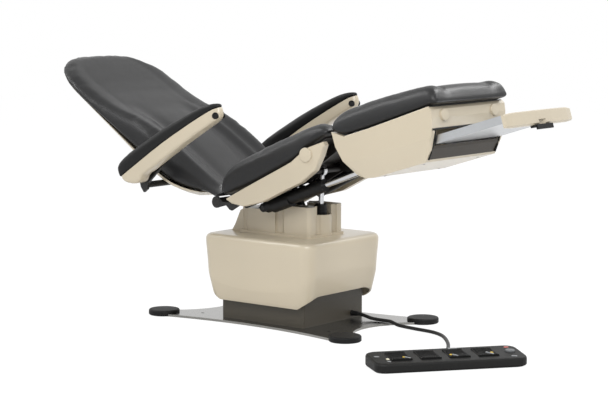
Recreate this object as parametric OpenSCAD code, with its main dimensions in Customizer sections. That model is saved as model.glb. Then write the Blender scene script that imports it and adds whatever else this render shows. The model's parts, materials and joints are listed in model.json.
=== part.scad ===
/* [Posture] */
// Upward tilt of the seat towards the knees, degrees
seat_tilt = 22; // [18:0.5:24]
// Upward slope of the leg section, degrees
leg_rise = 17; // [14:0.5:20]
// Rise of the back above the horizontal, degrees
back_rise = 34; // [30:0.5:38]
// Upward slope of the armrests, degrees
arm_rise = 26.7; // [24:0.1:30]

/* [Base] */
// Distance between foot caps along the chair
foot_span = 800; // [760:5:840]
// Distance between foot caps across the chair
foot_gauge = 434; // [420:2:460]
// Diameter of a foot cap
foot_d = 108; // [100:1:112]
// Height of a foot cap
foot_h = 20; // [18:0.5:24]
// Thickness of the steel base plate
plate_t = 8; // [6:0.5:9]
// Length of the base plate between its end scallops
plate_l = 636; // [600:2:660]
// Width of the base plate at its waist
plate_w = 410; // [390:2:420]
// Length of the dark skirt box
skirt_l = 362; // [352:2:366]
// Width of the dark skirt box
skirt_w = 326; // [316:2:330]
// Height of the top of the skirt box above the floor
skirt_top = 238; // [226:1:240]
// Wall of the skirt boxes
skirt_wall = 2.5; // [2:0.1:3]

/* [Shroud and column] */
// Length of the moulded shroud
shroud_l = 453; // [445:1:460]
// Width of the moulded shroud
shroud_w = 398; // [392:1:406]
// Height of the shroud's top above the floor
shroud_top = 300; // [296:1:304]
// Height of the shroud's lower edge above the floor
shroud_low = 73; // [68:1:78]
// Wall of the moulded covers
cover_wall = 4; // [3:0.25:5]
// Length of the fluted column cover
fluted_l = 300; // [294:1:306]
// Width of the fluted column cover
fluted_w = 184; // [178:1:186]
// Height of the column cover's front block above the floor
fluted_top = 404; // [400:1:406]
// Height of the tilt shaft above the floor
tilt_h = 430; // [429:0.5:434]
// Outer length of the fixed column tube
column_l = 130; // [124:1:134]
// Outer width of the fixed column tube
column_w = 120; // [114:1:124]
// Wall of the column tubes
column_wall = 5; // [4:0.25:5.5]
// Running gap between column tubes
column_gap = 0.1; // [0.05:0.01:0.2]

/* [Seat] */
// Length of the seat cushion
seat_l = 498; // [492:1:502]
// Height of the seat's crest above the tilt shaft
seat_crest = 136; // [132:1:140]
// Width of the seat cushion at the hips
seat_rear_w = 480; // [470:2:490]
// Width of the seat cushion at the knees
seat_front_w = 430; // [424:1:436]
// Thickness of the seat frame's side rails
rail_t = 8; // [6:0.5:9]
// Inner distance between the seat frame's side rails
rail_gauge = 188; // [186:1:190]
// Thickness of the seat and leg pans
pan_t = 4; // [3:0.25:4.5]
// Thickness of a moulded seat side cover
side_cover_t = 28; // [24:1:30]
// Diameter of the pivot cap on a side cover
pivot_cap_d = 48; // [42:1:52]

/* [Back] */
// Length of the back from its hinge to the head end
back_l = 912; // [900:2:924]
// Width of the back
back_w = 500; // [492:2:508]
// Height of the lower back's bolsters above the hinge line
back_crest = 46; // [42:0.5:48]
// Depth of the back cushion's underside below the hinge line
back_drop = 60; // [56:0.5:64]
// Belly of the moulded back shell below the cushion
shell_depth = 58; // [50:1:62]
// Diameter of the back's hinge tube
hinge_tube_d = 28; // [26:0.5:30]

/* [Leg section] */
// Length of the leg cushion
leg_l = 434; // [428:1:440]
// Width of the leg cushion
leg_w = 424; // [418:1:430]
// Width of the leg housing
housing_w = 414; // [408:1:418]
// Depth of the leg housing
housing_d = 152; // [148:1:156]
// Thickness of the leg cushion
leg_cushion_t = 77; // [70:1:82]
// Distance the drain tray stands pulled out
tray_out = 251; // [246:1:256]
// Height of the drain tray's walls
tray_h = 26; // [22:1:28]
// Width of the drain tray
tray_w = 360; // [348:2:362]

/* [Armrests] */
// Length of an armrest
arm_l = 510; // [496:2:524]
// Width of an armrest
arm_w = 52; // [48:1:56]
// Distance between the armrests' centre lines
arm_gauge = 730; // [716:2:744]
// Thickness of an arm pad
arm_pad_t = 52; // [46:1:56]

/* [Foot control] */
// Length of the foot control
board_l = 484; // [466:2:496]
// Width of the foot control
board_w = 152; // [144:1:158]
// Height of the foot control
board_h = 41; // [37:1:45]
// Length of one rocker pedal
pedal_l = 64; // [56:1:70]
// Diameter of the control cord
cord_d = 12; // [11:0.5:13]

/* [Hidden] */

// Overrun of cuts past a face, and the gap left between parts that only touch
cut = 1;
touch_gap = 0.3;
run_clear = 0.05;
beige = [0.80, 0.76, 0.68];
hide = [0.13, 0.13, 0.135];
dark_steel = [0.20, 0.20, 0.20];
steel = [0.72, 0.73, 0.74];

// Sides of round pieces
round_n = 48;

function arc(cx, cy, r, a0, a1, n) =
    [for (i = [0:n]) [cx + r * cos(a0 + (a1 - a0) * i / n), cy + r * sin(a0 + (a1 - a0) * i / n)]];

// Rounded rectangle with half sizes hx and hy about x = cx
function soft_rect(cx, hx, hy, r, n) = concat(
    arc(cx + hx - r, hy - r, r, 0, 90, n),
    arc(cx - hx + r, hy - r, r, 90, 180, n),
    arc(cx - hx + r, r - hy, r, 180, 270, n),
    arc(cx + hx - r, r - hy, r, 270, 360, n)
);

// Triangles that close a ring: a fan about its middle, or a strip between its first and second half
function fan_cap(base, n, centre) = [for (j = [0:n - 1]) [base + j, base + (j + 1) % n, centre]];
function strip_cap(base, n) = [for (j = [0:n / 2 - 2]) each [
    [base + j, base + j + 1, base + n - 1 - j],
    [base + j + 1, base + n - 2 - j, base + n - 1 - j]
]];
function flipped(faces) = [for (f = faces) [f[1], f[0], f[2]]];

// Skin through a list of rings with equal point counts; closed joins the last ring to the first
module skin(rings, closed = false, strip = false) {
    n = len(rings[0]);
    m = len(rings);
    ones = [for (j = [0:n - 1]) 1 / n];
    pts = [for (ring = rings) for (p = ring) p];
    middles = closed || strip ? [] : [ones * rings[0], ones * rings[m - 1]];
    spans = closed ? m : m - 1;
    sides = [
        for (i = [0:spans - 1]) for (j = [0:n - 1]) each [
            [i * n + j, i * n + (j + 1) % n, ((i + 1) % m) * n + j],
            [i * n + (j + 1) % n, ((i + 1) % m) * n + (j + 1) % n, ((i + 1) % m) * n + j]
        ]
    ];
    caps = closed ? [] : strip ? concat(flipped(strip_cap(0, n)), strip_cap((m - 1) * n, n)) :
        concat(flipped(fan_cap(0, n, m * n)), fan_cap((m - 1) * n, n, m * n + 1));
    polyhedron(points = concat(pts, middles), faces = concat(sides, caps), convexity = 6);
}

// Plate cut from a side outline in X and Z, between two distances across the chair
module across(y0, y1) {
    translate([0, y1, 0]) rotate([90, 0, 0]) linear_extrude(height = y1 - y0) children();
}

// Shaft across the chair at a point of a side view
module shaft_across(x, z, d, y0, y1) {
    translate([x, y1, z]) rotate([90, 0, 0]) cylinder(d = d, h = y1 - y0, $fn = round_n);
}

// Bore of a shaft across the chair
module bore_across(x, z, d, y0, y1) {
    shaft_across(x, z, d, y0 - cut, y1 + cut);
}

// Outline of a bar with round ends through a list of points in a side view, mitred at its bends
function square_to(d) = [-d[1], d[0]] / norm(d);
function mitre(points, i) =
    let (m = len(points) - 1,
         before = square_to(points[max(i, 1)] - points[max(i, 1) - 1]),
         after = square_to(points[min(i, m - 1) + 1] - points[min(i, m - 1)]),
         both = before + after)
    2 * both / (both * both);

module bar_outline(points, w) {
    m = len(points) - 1;
    first = points[1] - points[0];
    last = points[m] - points[m - 1];
    a = atan2(first[1], first[0]);
    b = atan2(last[1], last[0]);
    polygon(concat(
        [for (i = [1:m - 1]) points[i] + w / 2 * mitre(points, i)],
        arc(points[m][0], points[m][1], w / 2, b + 90, b - 90, 12),
        [for (i = [m - 1:-1:1]) points[i] - w / 2 * mitre(points, i)],
        arc(points[0][0], points[0][1], w / 2, a + 270, a + 90, 12)
    ));
}

module both_sides() {
    children();
    mirror([0, 1, 0]) children();
}

// Places of the main hinges in the side view
tilt_x = -30;
hinge_x = -160;
hinge_h = 412;
knee_x = 330;
knee_h = 650;

function turn(p, a) = [p[0] * cos(a) - p[1] * sin(a), p[0] * sin(a) + p[1] * cos(a)];

module at_seat() {
    translate([tilt_x, 0, tilt_h]) rotate([0, -seat_tilt, 0]) children();
}

module at_leg() {
    translate([knee_x, 0, knee_h]) rotate([0, -leg_rise, 0]) children();
}

module at_back() {
    translate([hinge_x, 0, hinge_h]) rotate([0, back_rise, 0]) children();
}

// Side-view points of the hinges, as seen from the seat
hinge_s = turn([hinge_x - tilt_x, hinge_h - tilt_h], -seat_tilt);
knee_s = turn([knee_x - tilt_x, knee_h - tilt_h], -seat_tilt);

// Base plate with concave sides and an ear at each corner
foot_x = foot_span / 2;
foot_y = foot_gauge / 2;
plate_up = plate_t;
ear_r = foot_d * 0.44;
ear_end = -50;
ear_side = 140;

// Radius of a scallop from its half span and its depth
function scallop_r(half, depth) = (half * half + depth * depth) / (2 * depth);
function quarter_outline() =
    let (x1 = foot_x + ear_r * cos(ear_end), y1 = foot_y + ear_r * sin(ear_end),
         x2 = foot_x + ear_r * cos(ear_side), y2 = foot_y + ear_r * sin(ear_side),
         re = scallop_r(y1, x1 - plate_l / 2), rs = scallop_r(x2, y2 - plate_w / 2),
         te = asin(y1 / re), ts = asin(x2 / rs))
    concat(
        [for (k = [1:2:9]) [plate_l / 2 + re - re * cos(te * k / 10), re * sin(te * k / 10)]],
        arc(foot_x, foot_y, ear_r, ear_end, ear_side, 18),
        [for (k = [9:-2:1]) [rs * sin(ts * k / 10), plate_w / 2 + rs - rs * cos(ts * k / 10)]]
    );
function backwards(points) = [for (i = [len(points) - 1:-1:0]) points[i]];

module plate_outline() {
    q = quarter_outline();
    polygon(concat(q, [for (p = backwards(q)) [-p[0], p[1]]], [for (p = q) -p], [for (p = backwards(q)) [p[0], -p[1]]]));
}

floor_bolt_d = 11;
floor_bolt_x = 560;
floor_bolt_y = 300;

module base_plate() {
    color(dark_steel) difference() {
        linear_extrude(height = plate_t) plate_outline();
        for (sx = [-1, 1]) for (sy = [-1, 1])
            translate([sx * floor_bolt_x / 2, sy * floor_bolt_y / 2, -cut])
                cylinder(d = floor_bolt_d, h = plate_t + 2 * cut, $fn = round_n);
    }
}

// Foot caps: rounded rubber shoes that grip the plate's ears
cap_edge = foot_h * 0.3;
module foot_caps() {
    color([0.09, 0.09, 0.09]) for (sx = [-1, 1]) for (sy = [-1, 1]) difference() {
        translate([sx * foot_x, sy * foot_y, 0]) rotate_extrude($fn = round_n) polygon(concat(
            [[0, 0], [foot_d / 2 - cap_edge / 2, 0], [foot_d / 2, cap_edge / 2]],
            arc(foot_d / 2 - cap_edge, foot_h - cap_edge, cap_edge, 0, 80, 5),
            [[0, foot_h + cap_edge * 0.2]]
        ));
        translate([0, 0, -cut]) linear_extrude(height = plate_t + cut) plate_outline();
    }
}

// Dark box on the plate that the shroud rises from
skirt_r = 8;
skirt_x0 = 2.5;
module box_ring(l, w, wall, z0, z1, r) {
    translate([skirt_x0, 0, z0]) linear_extrude(height = z1 - z0) difference() {
        polygon(soft_rect(0, l / 2, w / 2, r, 6));
        polygon(soft_rect(0, l / 2 - wall, w / 2 - wall, r - wall, 6));
    }
}

gland_y = 101;
gland_z = 25;
gland_room = 4;
gland_bore_d = cord_d + gland_room;
gland_lip = 1.8;
module base_skirt() {
    color([0.33, 0.32, 0.28]) difference() {
        box_ring(skirt_l, skirt_w, skirt_wall, plate_up, skirt_top, skirt_r);
        translate([skirt_x0, gland_y, gland_z]) rotate([0, 90, 0])
            cylinder(d = gland_bore_d, h = skirt_l, $fn = round_n);
    }
}

// Telescoping middle box, one clearance larger than the fixed one
mid_clear = 0.1;
mid_low_in = 11;
mid_high_in = 34;
mid_low = shroud_low + mid_low_in;
mid_high = shroud_top - mid_high_in;
module middle_skirt() {
    grow = 2 * (skirt_wall + mid_clear);
    color([0.26, 0.25, 0.23])
        box_ring(skirt_l + grow, skirt_w + grow, skirt_wall, mid_low, mid_high, skirt_r + grow / 2);
}

// Three telescoping column tubes
column_r = 8;
corner_step = 1;
corner_in = 3;
step_in = 2 * (column_wall + column_gap);
module column_tube(k, z0, z1) {
    l = column_l - k * step_in;
    w = column_w - k * step_in;
    translate([tilt_x, 0, z0]) linear_extrude(height = z1 - z0) difference() {
        polygon(soft_rect(0, l / 2, w / 2, column_r - k * corner_step, 5));
        polygon(soft_rect(0, l / 2 - column_wall, w / 2 - column_wall, column_r - k * corner_step - corner_in, 5));
    }
}

column_base_over = 28;
column_base_top = shroud_top + column_base_over;
column_mid_low = 62;
column_mid_over = 50;
column_mid_top = shroud_top + column_mid_over;
column_top_low = 84;
head_plate_down = 26;
head_plate_z = fluted_top - head_plate_down;
head_plate_t = 8;
column_flange = 26;

module column_base() {
    color(steel) {
        column_tube(0, plate_up, column_base_top);
        difference() {
            translate([tilt_x, 0, plate_up]) linear_extrude(height = column_wall * 2)
                polygon(soft_rect(0, column_l / 2 + column_flange, column_w / 2 + column_flange, column_r * 2, 5));
            translate([tilt_x, 0, plate_up - cut]) linear_extrude(height = column_wall * 2 + 2 * cut)
                polygon(soft_rect(0, column_l / 2 - column_wall, column_w / 2 - column_wall, column_r - corner_in, 5));
        }
    }
}

module column_middle() {
    color(steel) column_tube(1, column_mid_low, column_mid_top);
}

module column_top() {
    color(steel) column_tube(2, column_top_low, head_plate_z);
}

// Lifting spindle inside the column: motor with outer tube, middle and top stages
spindle_d = 50;
spindle_wall = 4;
spindle_gap = 1;
spindle_step = 2 * (spindle_wall + spindle_gap);
motor_h = 60;
spindle_base_top = 290;
spindle_mid_low = 104;
spindle_mid_top = 312;
spindle_top_low = 128;

module tube_up(d, wall, z0, z1) {
    translate([tilt_x, 0, z0]) difference() {
        cylinder(d = d, h = z1 - z0, $fn = round_n);
        translate([0, 0, -cut]) cylinder(d = d - 2 * wall, h = z1 - z0 + 2 * cut, $fn = round_n);
    }
}

module lift_motor() {
    color([0.25, 0.26, 0.28]) {
        translate([tilt_x, 0, plate_up]) cylinder(d = spindle_d * 1.5, h = motor_h / 2, $fn = round_n);
        translate([tilt_x, 0, plate_up + motor_h / 2]) cylinder(d = spindle_d, h = motor_h / 2, $fn = round_n);
        tube_up(spindle_d, spindle_wall, plate_up + motor_h, spindle_base_top);
    }
}

module spindle_middle() {
    color(steel) tube_up(spindle_d - spindle_step, spindle_wall, spindle_mid_low, spindle_mid_top);
}

module spindle_top() {
    color(steel) translate([tilt_x, 0, spindle_top_low])
        cylinder(d = spindle_d - 2 * spindle_step, h = head_plate_z - spindle_top_low, $fn = round_n);
}

// Moulded shroud: straight upper walls, a tapered lower band and arched ends
shroud_x0 = 7.5;
shroud_r = 30;
shroud_edge = 14;
band_h = 95;
band_in = 14;
arch_h = 42;
shroud_hole_l = 250;
shroud_hole_w = 160;

// Height of the lower edge at a point of the outline: the ends arch up between the corners
function arch_at(x, y) =
    let (hx = shroud_l / 2 - band_in, hy = shroud_w / 2 - band_in,
         end_on = max(0, min(1, (abs(x - shroud_x0) - (hx - shroud_r)) / shroud_r)),
         mid_on = max(0, min(1, (hy - abs(y)) / shroud_r)))
    shroud_low + arch_h * end_on * sqrt(mid_on);

function shroud_ring(inset, z, r) =
    [for (p = soft_rect(shroud_x0, shroud_l / 2 - inset, shroud_w / 2 - inset, r, 8)) [p[0], p[1], z]];

function shroud_foot(inset, r) =
    [for (p = soft_rect(shroud_x0, shroud_l / 2 - inset, shroud_w / 2 - inset, r, 8))
        [p[0], p[1], arch_at(p[0], p[1])]];

module base_shroud() {
    wall = cover_wall;
    crease_z = shroud_low + band_h;
    color(beige) skin([
        shroud_foot(band_in, shroud_r),
        shroud_ring(band_in * 0.35, shroud_low + band_h * 0.62, shroud_r),
        shroud_ring(band_in * 0.1, crease_z, shroud_r),
        shroud_ring(0, crease_z + band_h * 0.4, shroud_r),
        shroud_ring(0, shroud_top - shroud_edge, shroud_r),
        shroud_ring(shroud_edge * 0.12, shroud_top - shroud_edge * 0.5, shroud_r),
        shroud_ring(shroud_edge * 0.5, shroud_top - shroud_edge * 0.12, shroud_r),
        shroud_ring(shroud_edge, shroud_top, shroud_r - shroud_edge * 0.5),
        [for (p = soft_rect(tilt_x, shroud_hole_l / 2, shroud_hole_w / 2, shroud_edge, 8)) [p[0], p[1], shroud_top]],
        [for (p = soft_rect(tilt_x, shroud_hole_l / 2, shroud_hole_w / 2, shroud_edge, 8))
            [p[0], p[1], shroud_top - wall]],
        shroud_ring(shroud_edge, shroud_top - wall, shroud_r - shroud_edge * 0.5),
        shroud_ring(wall, shroud_top - shroud_edge, shroud_r - wall),
        shroud_ring(wall, crease_z + band_h * 0.4, shroud_r - wall),
        shroud_ring(band_in * 0.1 + wall, crease_z, shroud_r - wall),
        shroud_ring(band_in * 0.35 + wall, shroud_low + band_h * 0.62, shroud_r - wall),
        shroud_foot(band_in + wall, shroud_r - wall)
    ], closed = true);
}

// Column cover: blocks and panels with deep flutes between them, a flare behind and a round front boss
fluted_x1 = 150;
fluted_x0 = fluted_x1 - fluted_l;
boss_x = 125;
boss_r = 38;
boss_down = 30;
boss_top = fluted_top - boss_down;
boss_wall = 4;
fluted_r = 14;
rim_out = 6;
flute_r = 20;
flute_in = 3;
flare_out = 55;
head_room = 5;
rear_step = 20;

module fluted_outline() {
    difference() {
        polygon(soft_rect((fluted_x0 + fluted_x1) / 2, fluted_l / 2, fluted_w / 2, fluted_r, 5));
        for (s = [-1, 1]) {
            translate([fluted_x0 + fluted_l * 0.57, s * (fluted_w / 2 + flute_in)]) circle(r = flute_r, $fn = round_n);
            translate([fluted_x0 + fluted_l * 0.06, s * (fluted_w / 2 + flute_in)]) circle(r = flute_r * 0.6, $fn = round_n);
            translate([fluted_x1 + flute_in, s * fluted_w * 0.24]) circle(r = flute_r * 0.7, $fn = round_n);
        }
    }
}

module column_cover() {
    color(beige) difference() {
        union() {
            translate([0, 0, shroud_top]) linear_extrude(height = fluted_top - rear_step - shroud_top) fluted_outline();
            translate([0, 0, shroud_top]) linear_extrude(height = fluted_top - shroud_top) intersection() {
                fluted_outline();
                translate([fluted_x0 + fluted_l * 0.57, -fluted_w]) square([fluted_l, 2 * fluted_w]);
            }
            translate([boss_x, 0, shroud_top]) cylinder(r = boss_r, h = boss_top - shroud_top, $fn = round_n);
            across(-fluted_w * 0.42, fluted_w * 0.42) polygon([
                [fluted_x0 + cut, shroud_top], [fluted_x0 - flare_out, shroud_top],
                [fluted_x0 - flare_out * 0.75, shroud_top + (fluted_top - shroud_top) * 0.2],
                [fluted_x0 - flare_out * 0.3, fluted_top - rear_step * 1.6],
                [fluted_x0 + cut, fluted_top - rear_step * 1.2]
            ]);
            translate([0, 0, shroud_top]) linear_extrude(height = cover_wall * 2) polygon(
                soft_rect((fluted_x0 + fluted_x1) / 2, fluted_l / 2 + rim_out, fluted_w / 2 + rim_out, fluted_r, 5));
        }
        // Room for the column tubes and the rising head
        translate([tilt_x, 0, shroud_top - cut]) linear_extrude(height = fluted_top) head_outline();
        // Well of the tilt cylinder
        translate([boss_x, 0, shroud_top - cut]) cylinder(r = boss_r - boss_wall, h = fluted_top, $fn = round_n);
        translate([tilt_x, -well_w / 2, shroud_top - cut]) cube([boss_x - tilt_x, well_w, fluted_top]);
        translate([boss_x - boss_r, -boss_r, boss_top]) cube([fluted_l, 2 * boss_r, fluted_top]);
    }
}
well_w = 66;

// Head of the rising column: plate, two ears for the tilt shaft and a hanger for the tilt cylinder
yoke_in = 36;
yoke_t = 18;
tilt_shaft_d = 24;
cyl_pivot_up = 10;
cyl_pivot = [boss_x, shroud_top + cyl_pivot_up];
cyl_d = 40;
cyl_pin_d = 14;
hanger_t = 7;
hanger_gap = 2;
hanger_in = cyl_d / 2 + hanger_gap;
hanger_drop = 20;

module head_outline() {
    polygon(soft_rect(0, column_l / 2 + head_room, column_w / 2 + head_room, column_r, 5));
}

module column_head() {
    tl = column_l - 2 * step_in;
    color([0.17, 0.17, 0.17]) difference() {
        union() {
            translate([tilt_x, 0, head_plate_z]) linear_extrude(height = head_plate_t) head_outline();
            for (s = [-1, 1]) {
                y0 = s > 0 ? yoke_in : -yoke_in - yoke_t;
                across(y0, y0 + yoke_t) polygon(concat(
                    [[tilt_x - tl / 2, head_plate_z], [tilt_x + tl / 2, head_plate_z]],
                    arc(tilt_x, tilt_h, tilt_shaft_d * 0.85, 10, 170, 10)
                ));
                h0 = s > 0 ? hanger_in : -hanger_in - hanger_t;
                across(h0, h0 + hanger_t) polygon([
                    [tilt_x, head_plate_z], [tilt_x, head_plate_z + head_plate_t],
                    [boss_x - cyl_d * 0.3, head_plate_z + head_plate_t],
                    [boss_x + cyl_pin_d, head_plate_z - hanger_drop],
                    [boss_x + cyl_pin_d, cyl_pivot[1] - cyl_pin_d * 0.65],
                    [boss_x - cyl_pin_d, cyl_pivot[1] - cyl_pin_d * 0.65],
                    [boss_x - cyl_d * 0.7, head_plate_z - hanger_drop],
                    [tilt_x + column_l / 2 + hanger_gap, head_plate_z]
                ]);
            }
        }
        bore_across(tilt_x, tilt_h, tilt_shaft_d, -yoke_in - yoke_t, yoke_in + yoke_t);
        bore_across(cyl_pivot[0], cyl_pivot[1], cyl_pin_d + 2 * run_clear, -hanger_in - hanger_t, hanger_in + hanger_t);
    }
}

rail_in = rail_gauge / 2;
rail_out = rail_in + rail_t;
shaft_out = 6;
module tilt_shaft() {
    color(steel) shaft_across(tilt_x, tilt_h, tilt_shaft_d, -rail_out - shaft_out, rail_out + shaft_out);
}

// Tilt cylinder and rod between the hanger and the seat frame's cross tube
lug_s = [184, 25];
cross_d = 20;
lug_w = turn(lug_s, seat_tilt) + [tilt_x, tilt_h];
cyl_vec = lug_w - cyl_pivot;
cyl_angle = atan2(cyl_vec[0], cyl_vec[1]);
cyl_reach = norm(cyl_vec);
cyl_l = 98;
rod_d = 18;
rod_l = 131;
cyl_floor = 2;
eye_room = 3;
eye_d = 36;
eye_t = 16;

module at_cylinder() {
    translate([cyl_pivot[0], 0, cyl_pivot[1]]) rotate([0, cyl_angle, 0]) children();
}

module tilt_cylinder() {
    color([0.12, 0.12, 0.12]) at_cylinder() {
        difference() {
            translate([0, 0, cyl_pin_d]) cylinder(d = cyl_d, h = cyl_l - cyl_pin_d, $fn = round_n);
            translate([0, 0, cyl_pin_d + cyl_floor]) cylinder(d = rod_d + 2 * run_clear, h = cyl_l, $fn = round_n);
        }
        translate([-cyl_pin_d * 0.9, -cyl_d * 0.3, 0]) cube([cyl_pin_d * 1.8, cyl_d * 0.6, cyl_pin_d + cut]);
        shaft_across(0, 0, cyl_pin_d, -hanger_in - hanger_t, hanger_in + hanger_t);
    }
}

module tilt_rod() {
    color([0.85, 0.86, 0.87]) at_cylinder() difference() {
        union() {
            translate([0, 0, cyl_reach - rod_l]) cylinder(d = rod_d, h = rod_l - eye_d * 0.35, $fn = round_n);
            shaft_across(0, cyl_reach, eye_d, -eye_t / 2, eye_t / 2);
        }
        bore_across(0, cyl_reach, cross_d + eye_room, -eye_t / 2, eye_t / 2);
    }
}

// Seat outline in the side view: place along, underside and crest, as shares of the seat's length and crest
seat_shares = [
    [0, 0.33, 0.45], [0.01, 0.30, 0.60], [0.035, 0.29, 0.73], [0.09, 0.28, 0.85], [0.18, 0.275, 0.915],
    [0.30, 0.29, 0.955], [0.44, 0.33, 0.985], [0.56, 0.37, 1], [0.68, 0.43, 1.005], [0.775, 0.535, 1.005],
    [0.865, 0.62, 1], [0.935, 0.65, 0.985], [0.975, 0.66, 0.94], [0.99, 0.675, 0.88], [1, 0.72, 0.81]
];
seat_x0 = -80;
function seat_at(row) = [seat_x0 + row[0] * seat_l, row[1] * seat_crest, row[2] * seat_crest];
function seat_half(x) =
    let (k = (x - seat_x0) / seat_l) (seat_rear_w * (1 - k) + seat_front_w * k) / 2;

// Cross section of a cushion: shares of half width, of thickness and of the centre's dip
cushion_shares = [
    [0, 0, 0], [0.60, 0.004, 0], [0.93, 0.012, 0], [0.975, 0.08, 0], [0.995, 0.26, 0], [1, 0.5, 0], [0.99, 0.73, 0],
    [0.955, 0.89, 0], [0.90, 0.975, 0], [0.82, 1, 0.02], [0.74, 0.985, 0.25], [0.68, 0.97, 0.62],
    [0.63, 0.93, 0.85], [0.58, 0.97, 0.92], [0.30, 0.99, 1], [0, 1, 1]
];
function cushion_side(s) =
    [for (p = cushion_shares) [s * p[0], p[1], p[2]]];
function cushion_loop() = concat(
    cushion_side(1),
    [for (i = [len(cushion_shares) - 2:-1:1]) cushion_side(-1)[i]]
);
seat_on = 0.2;
function cushion_ring(x, half, zb, zt, dip) =
    [for (p = cushion_loop()) [x, p[0] * half, zb + seat_on + (zt - zb - seat_on) * p[1] - dip * p[2]]];

seat_dip = 16;
module seat_cushion() {
    ends = len(seat_shares) - 1;
    color(hide) at_seat() skin([for (i = [0:ends])
        let (p = seat_at(seat_shares[i]), e = min(i, ends - i), pull = e == 0 ? 0.94 : (e == 1 ? 0.98 : 1))
        cushion_ring(p[0], seat_half(p[0]) * pull, p[1], p[2], seat_dip * min(1, e / 4))
    ]);
}

// Steel pan under the seat cushion, bent along the cushion's underside
pan_in = 4;
pan_rows = [for (i = [3:len(seat_shares) - 4]) seat_at(seat_shares[i])];
module seat_pan() {
    half = seat_front_w / 2 - side_cover_t - pan_in;
    color(dark_steel) at_seat() across(-half, half) polygon(concat(
        [for (p = pan_rows) [p[0], p[1]]],
        [for (i = [len(pan_rows) - 1:-1:0]) [pan_rows[i][0], pan_rows[i][1] - pan_t]]
    ));
}

// Seat frame: two rails from the back hinge to the knee, with cross tubes
knee_d = 24;
rail_h = 30;
motor_pin_d = 12;
back_motor_s = [250, 4];
leg_motor_s = [20, -40];
stub_at = [[40, 24], [300, 50]];
stub_d = 14;
stub_grip = 6;
tube_out = 2;
front_tube_down = 4;
motor_stub = 14;
hinge_boss_t = 5;
neck_s = [-95, 2];
cover_set = 1;
cover_turn = atan((seat_rear_w - seat_front_w) / (2 * seat_l));
function cover_in(x) = seat_half(seat_x0) - cover_set - side_cover_t - (x - seat_x0) * tan(cover_turn);

// Each motor runs midway between its rail and its side cover
motor_y = (rail_out + cover_in(back_motor_s[0])) / 2;

module seat_frame() {
    mid_s = [seat_x0 + seat_l * 0.55, seat_crest * 0.165];
    front_s = [seat_x0 + seat_l * 0.87, seat_crest * 0.445];
    color(dark_steel) at_seat() difference() {
        union() {
            both_sides() across(rail_in, rail_out) {
                bar_outline([hinge_s, neck_s, [0, 0], mid_s, front_s, knee_s], rail_h * 0.8);
                polygon(concat(
                    [for (p = pan_rows) [p[0], p[1] - pan_t]],
                    [for (i = [len(pan_rows) - 1:-1:0]) [pan_rows[i][0], pan_rows[i][1] - pan_t - rail_h * 0.4]]
                ));
                translate(hinge_s) circle(d = hinge_tube_d + 2 * hinge_boss_t, $fn = round_n);
                translate([0, 0]) circle(d = tilt_shaft_d + 4 * hinge_boss_t, $fn = round_n);
            }
            shaft_across(lug_s[0], lug_s[1], cross_d, -rail_out - tube_out, rail_out + tube_out);
            shaft_across(front_s[0], front_s[1] - front_tube_down, cross_d, -rail_out - tube_out, rail_out + tube_out);
            // Stubs that carry the side covers
            both_sides() for (p = stub_at)
                shaft_across(p[0], p[1], stub_d, rail_in + tube_out, cover_in(p[0]) + stub_grip);
            // Outriggers that carry the two motors outside the rails
            shaft_across(back_motor_s[0], back_motor_s[1], motor_pin_d, rail_in + tube_out, motor_y + motor_stub);
            shaft_across(leg_motor_s[0], leg_motor_s[1], motor_pin_d, -motor_y - motor_stub, -rail_in - tube_out);
            across(-rail_out, -rail_in) bar_outline([[0, 0], leg_motor_s], rail_h * 0.8);
            across(rail_in, rail_out) bar_outline([mid_s, back_motor_s], rail_h * 0.8);
        }
        bore_across(hinge_s[0], hinge_s[1], hinge_tube_d + 2 * run_clear, -rail_out, rail_out);
        bore_across(0, 0, tilt_shaft_d + 2 * run_clear, -rail_out, rail_out);
        bore_across(knee_s[0], knee_s[1], knee_d + 2 * run_clear, -rail_out, rail_out);
    }
}

// Side covers: crescents that hide the seat frame, turned in a little towards the knees
cover_shares = [
    [-0.128, 0.18], [-0.03, 0.22], [0.18, 0.29], [0.39, 0.355], [0.50, 0.395], [0.58, 0.485], [0.67, 0.56],
    [0.78, 0.545], [0.785, 0.45], [0.735, 0.24], [0.65, -0.035], [0.515, -0.17], [0.35, -0.20], [0.17, -0.25],
    [0.0, -0.17], [-0.09, 0.02]
];
boss_s = [312, 55];
cover_bevel = 7;

module cover_body(thick) {
    pts = [for (p = cover_shares) [p[0] * seat_l, p[1] * seat_crest]];
    mid = [seat_l * 0.3, seat_crest * 0.1];
    function grown(k, y) = [for (p = pts) [mid[0] + (p[0] - mid[0]) * k, y, mid[1] + (p[1] - mid[1]) * k]];
    skin([
        grown(1, thick), grown(1, cover_bevel), grown(0.985, cover_bevel * 0.3), grown(0.955, 0)
    ]);
}

module place_cover() {
    translate([seat_x0, -seat_half(seat_x0) + cover_set, 0]) rotate([0, 0, cover_turn]) translate([-seat_x0, 0, 0]) children();
}

module seat_cover_right() {
    color(beige) at_seat() place_cover() cover_body(side_cover_t);
}

module seat_cover_left() {
    color(beige) at_seat() mirror([0, 1, 0]) place_cover() cover_body(side_cover_t);
}

cap_soft = 3;
cap_up = 7;
module pivot_caps() {
    color([0.74, 0.71, 0.63]) at_seat() both_sides() place_cover()
        translate([boss_s[0], 0, boss_s[1]]) rotate([90, 0, 0])
            rotate_extrude($fn = round_n) polygon(concat(
                [[0, 0], [pivot_cap_d / 2, 0]],
                arc(pivot_cap_d / 2 - cap_soft, cap_soft, cap_soft, 0, 90, 4),
                [[0, cap_up]]
            ));
}

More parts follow.
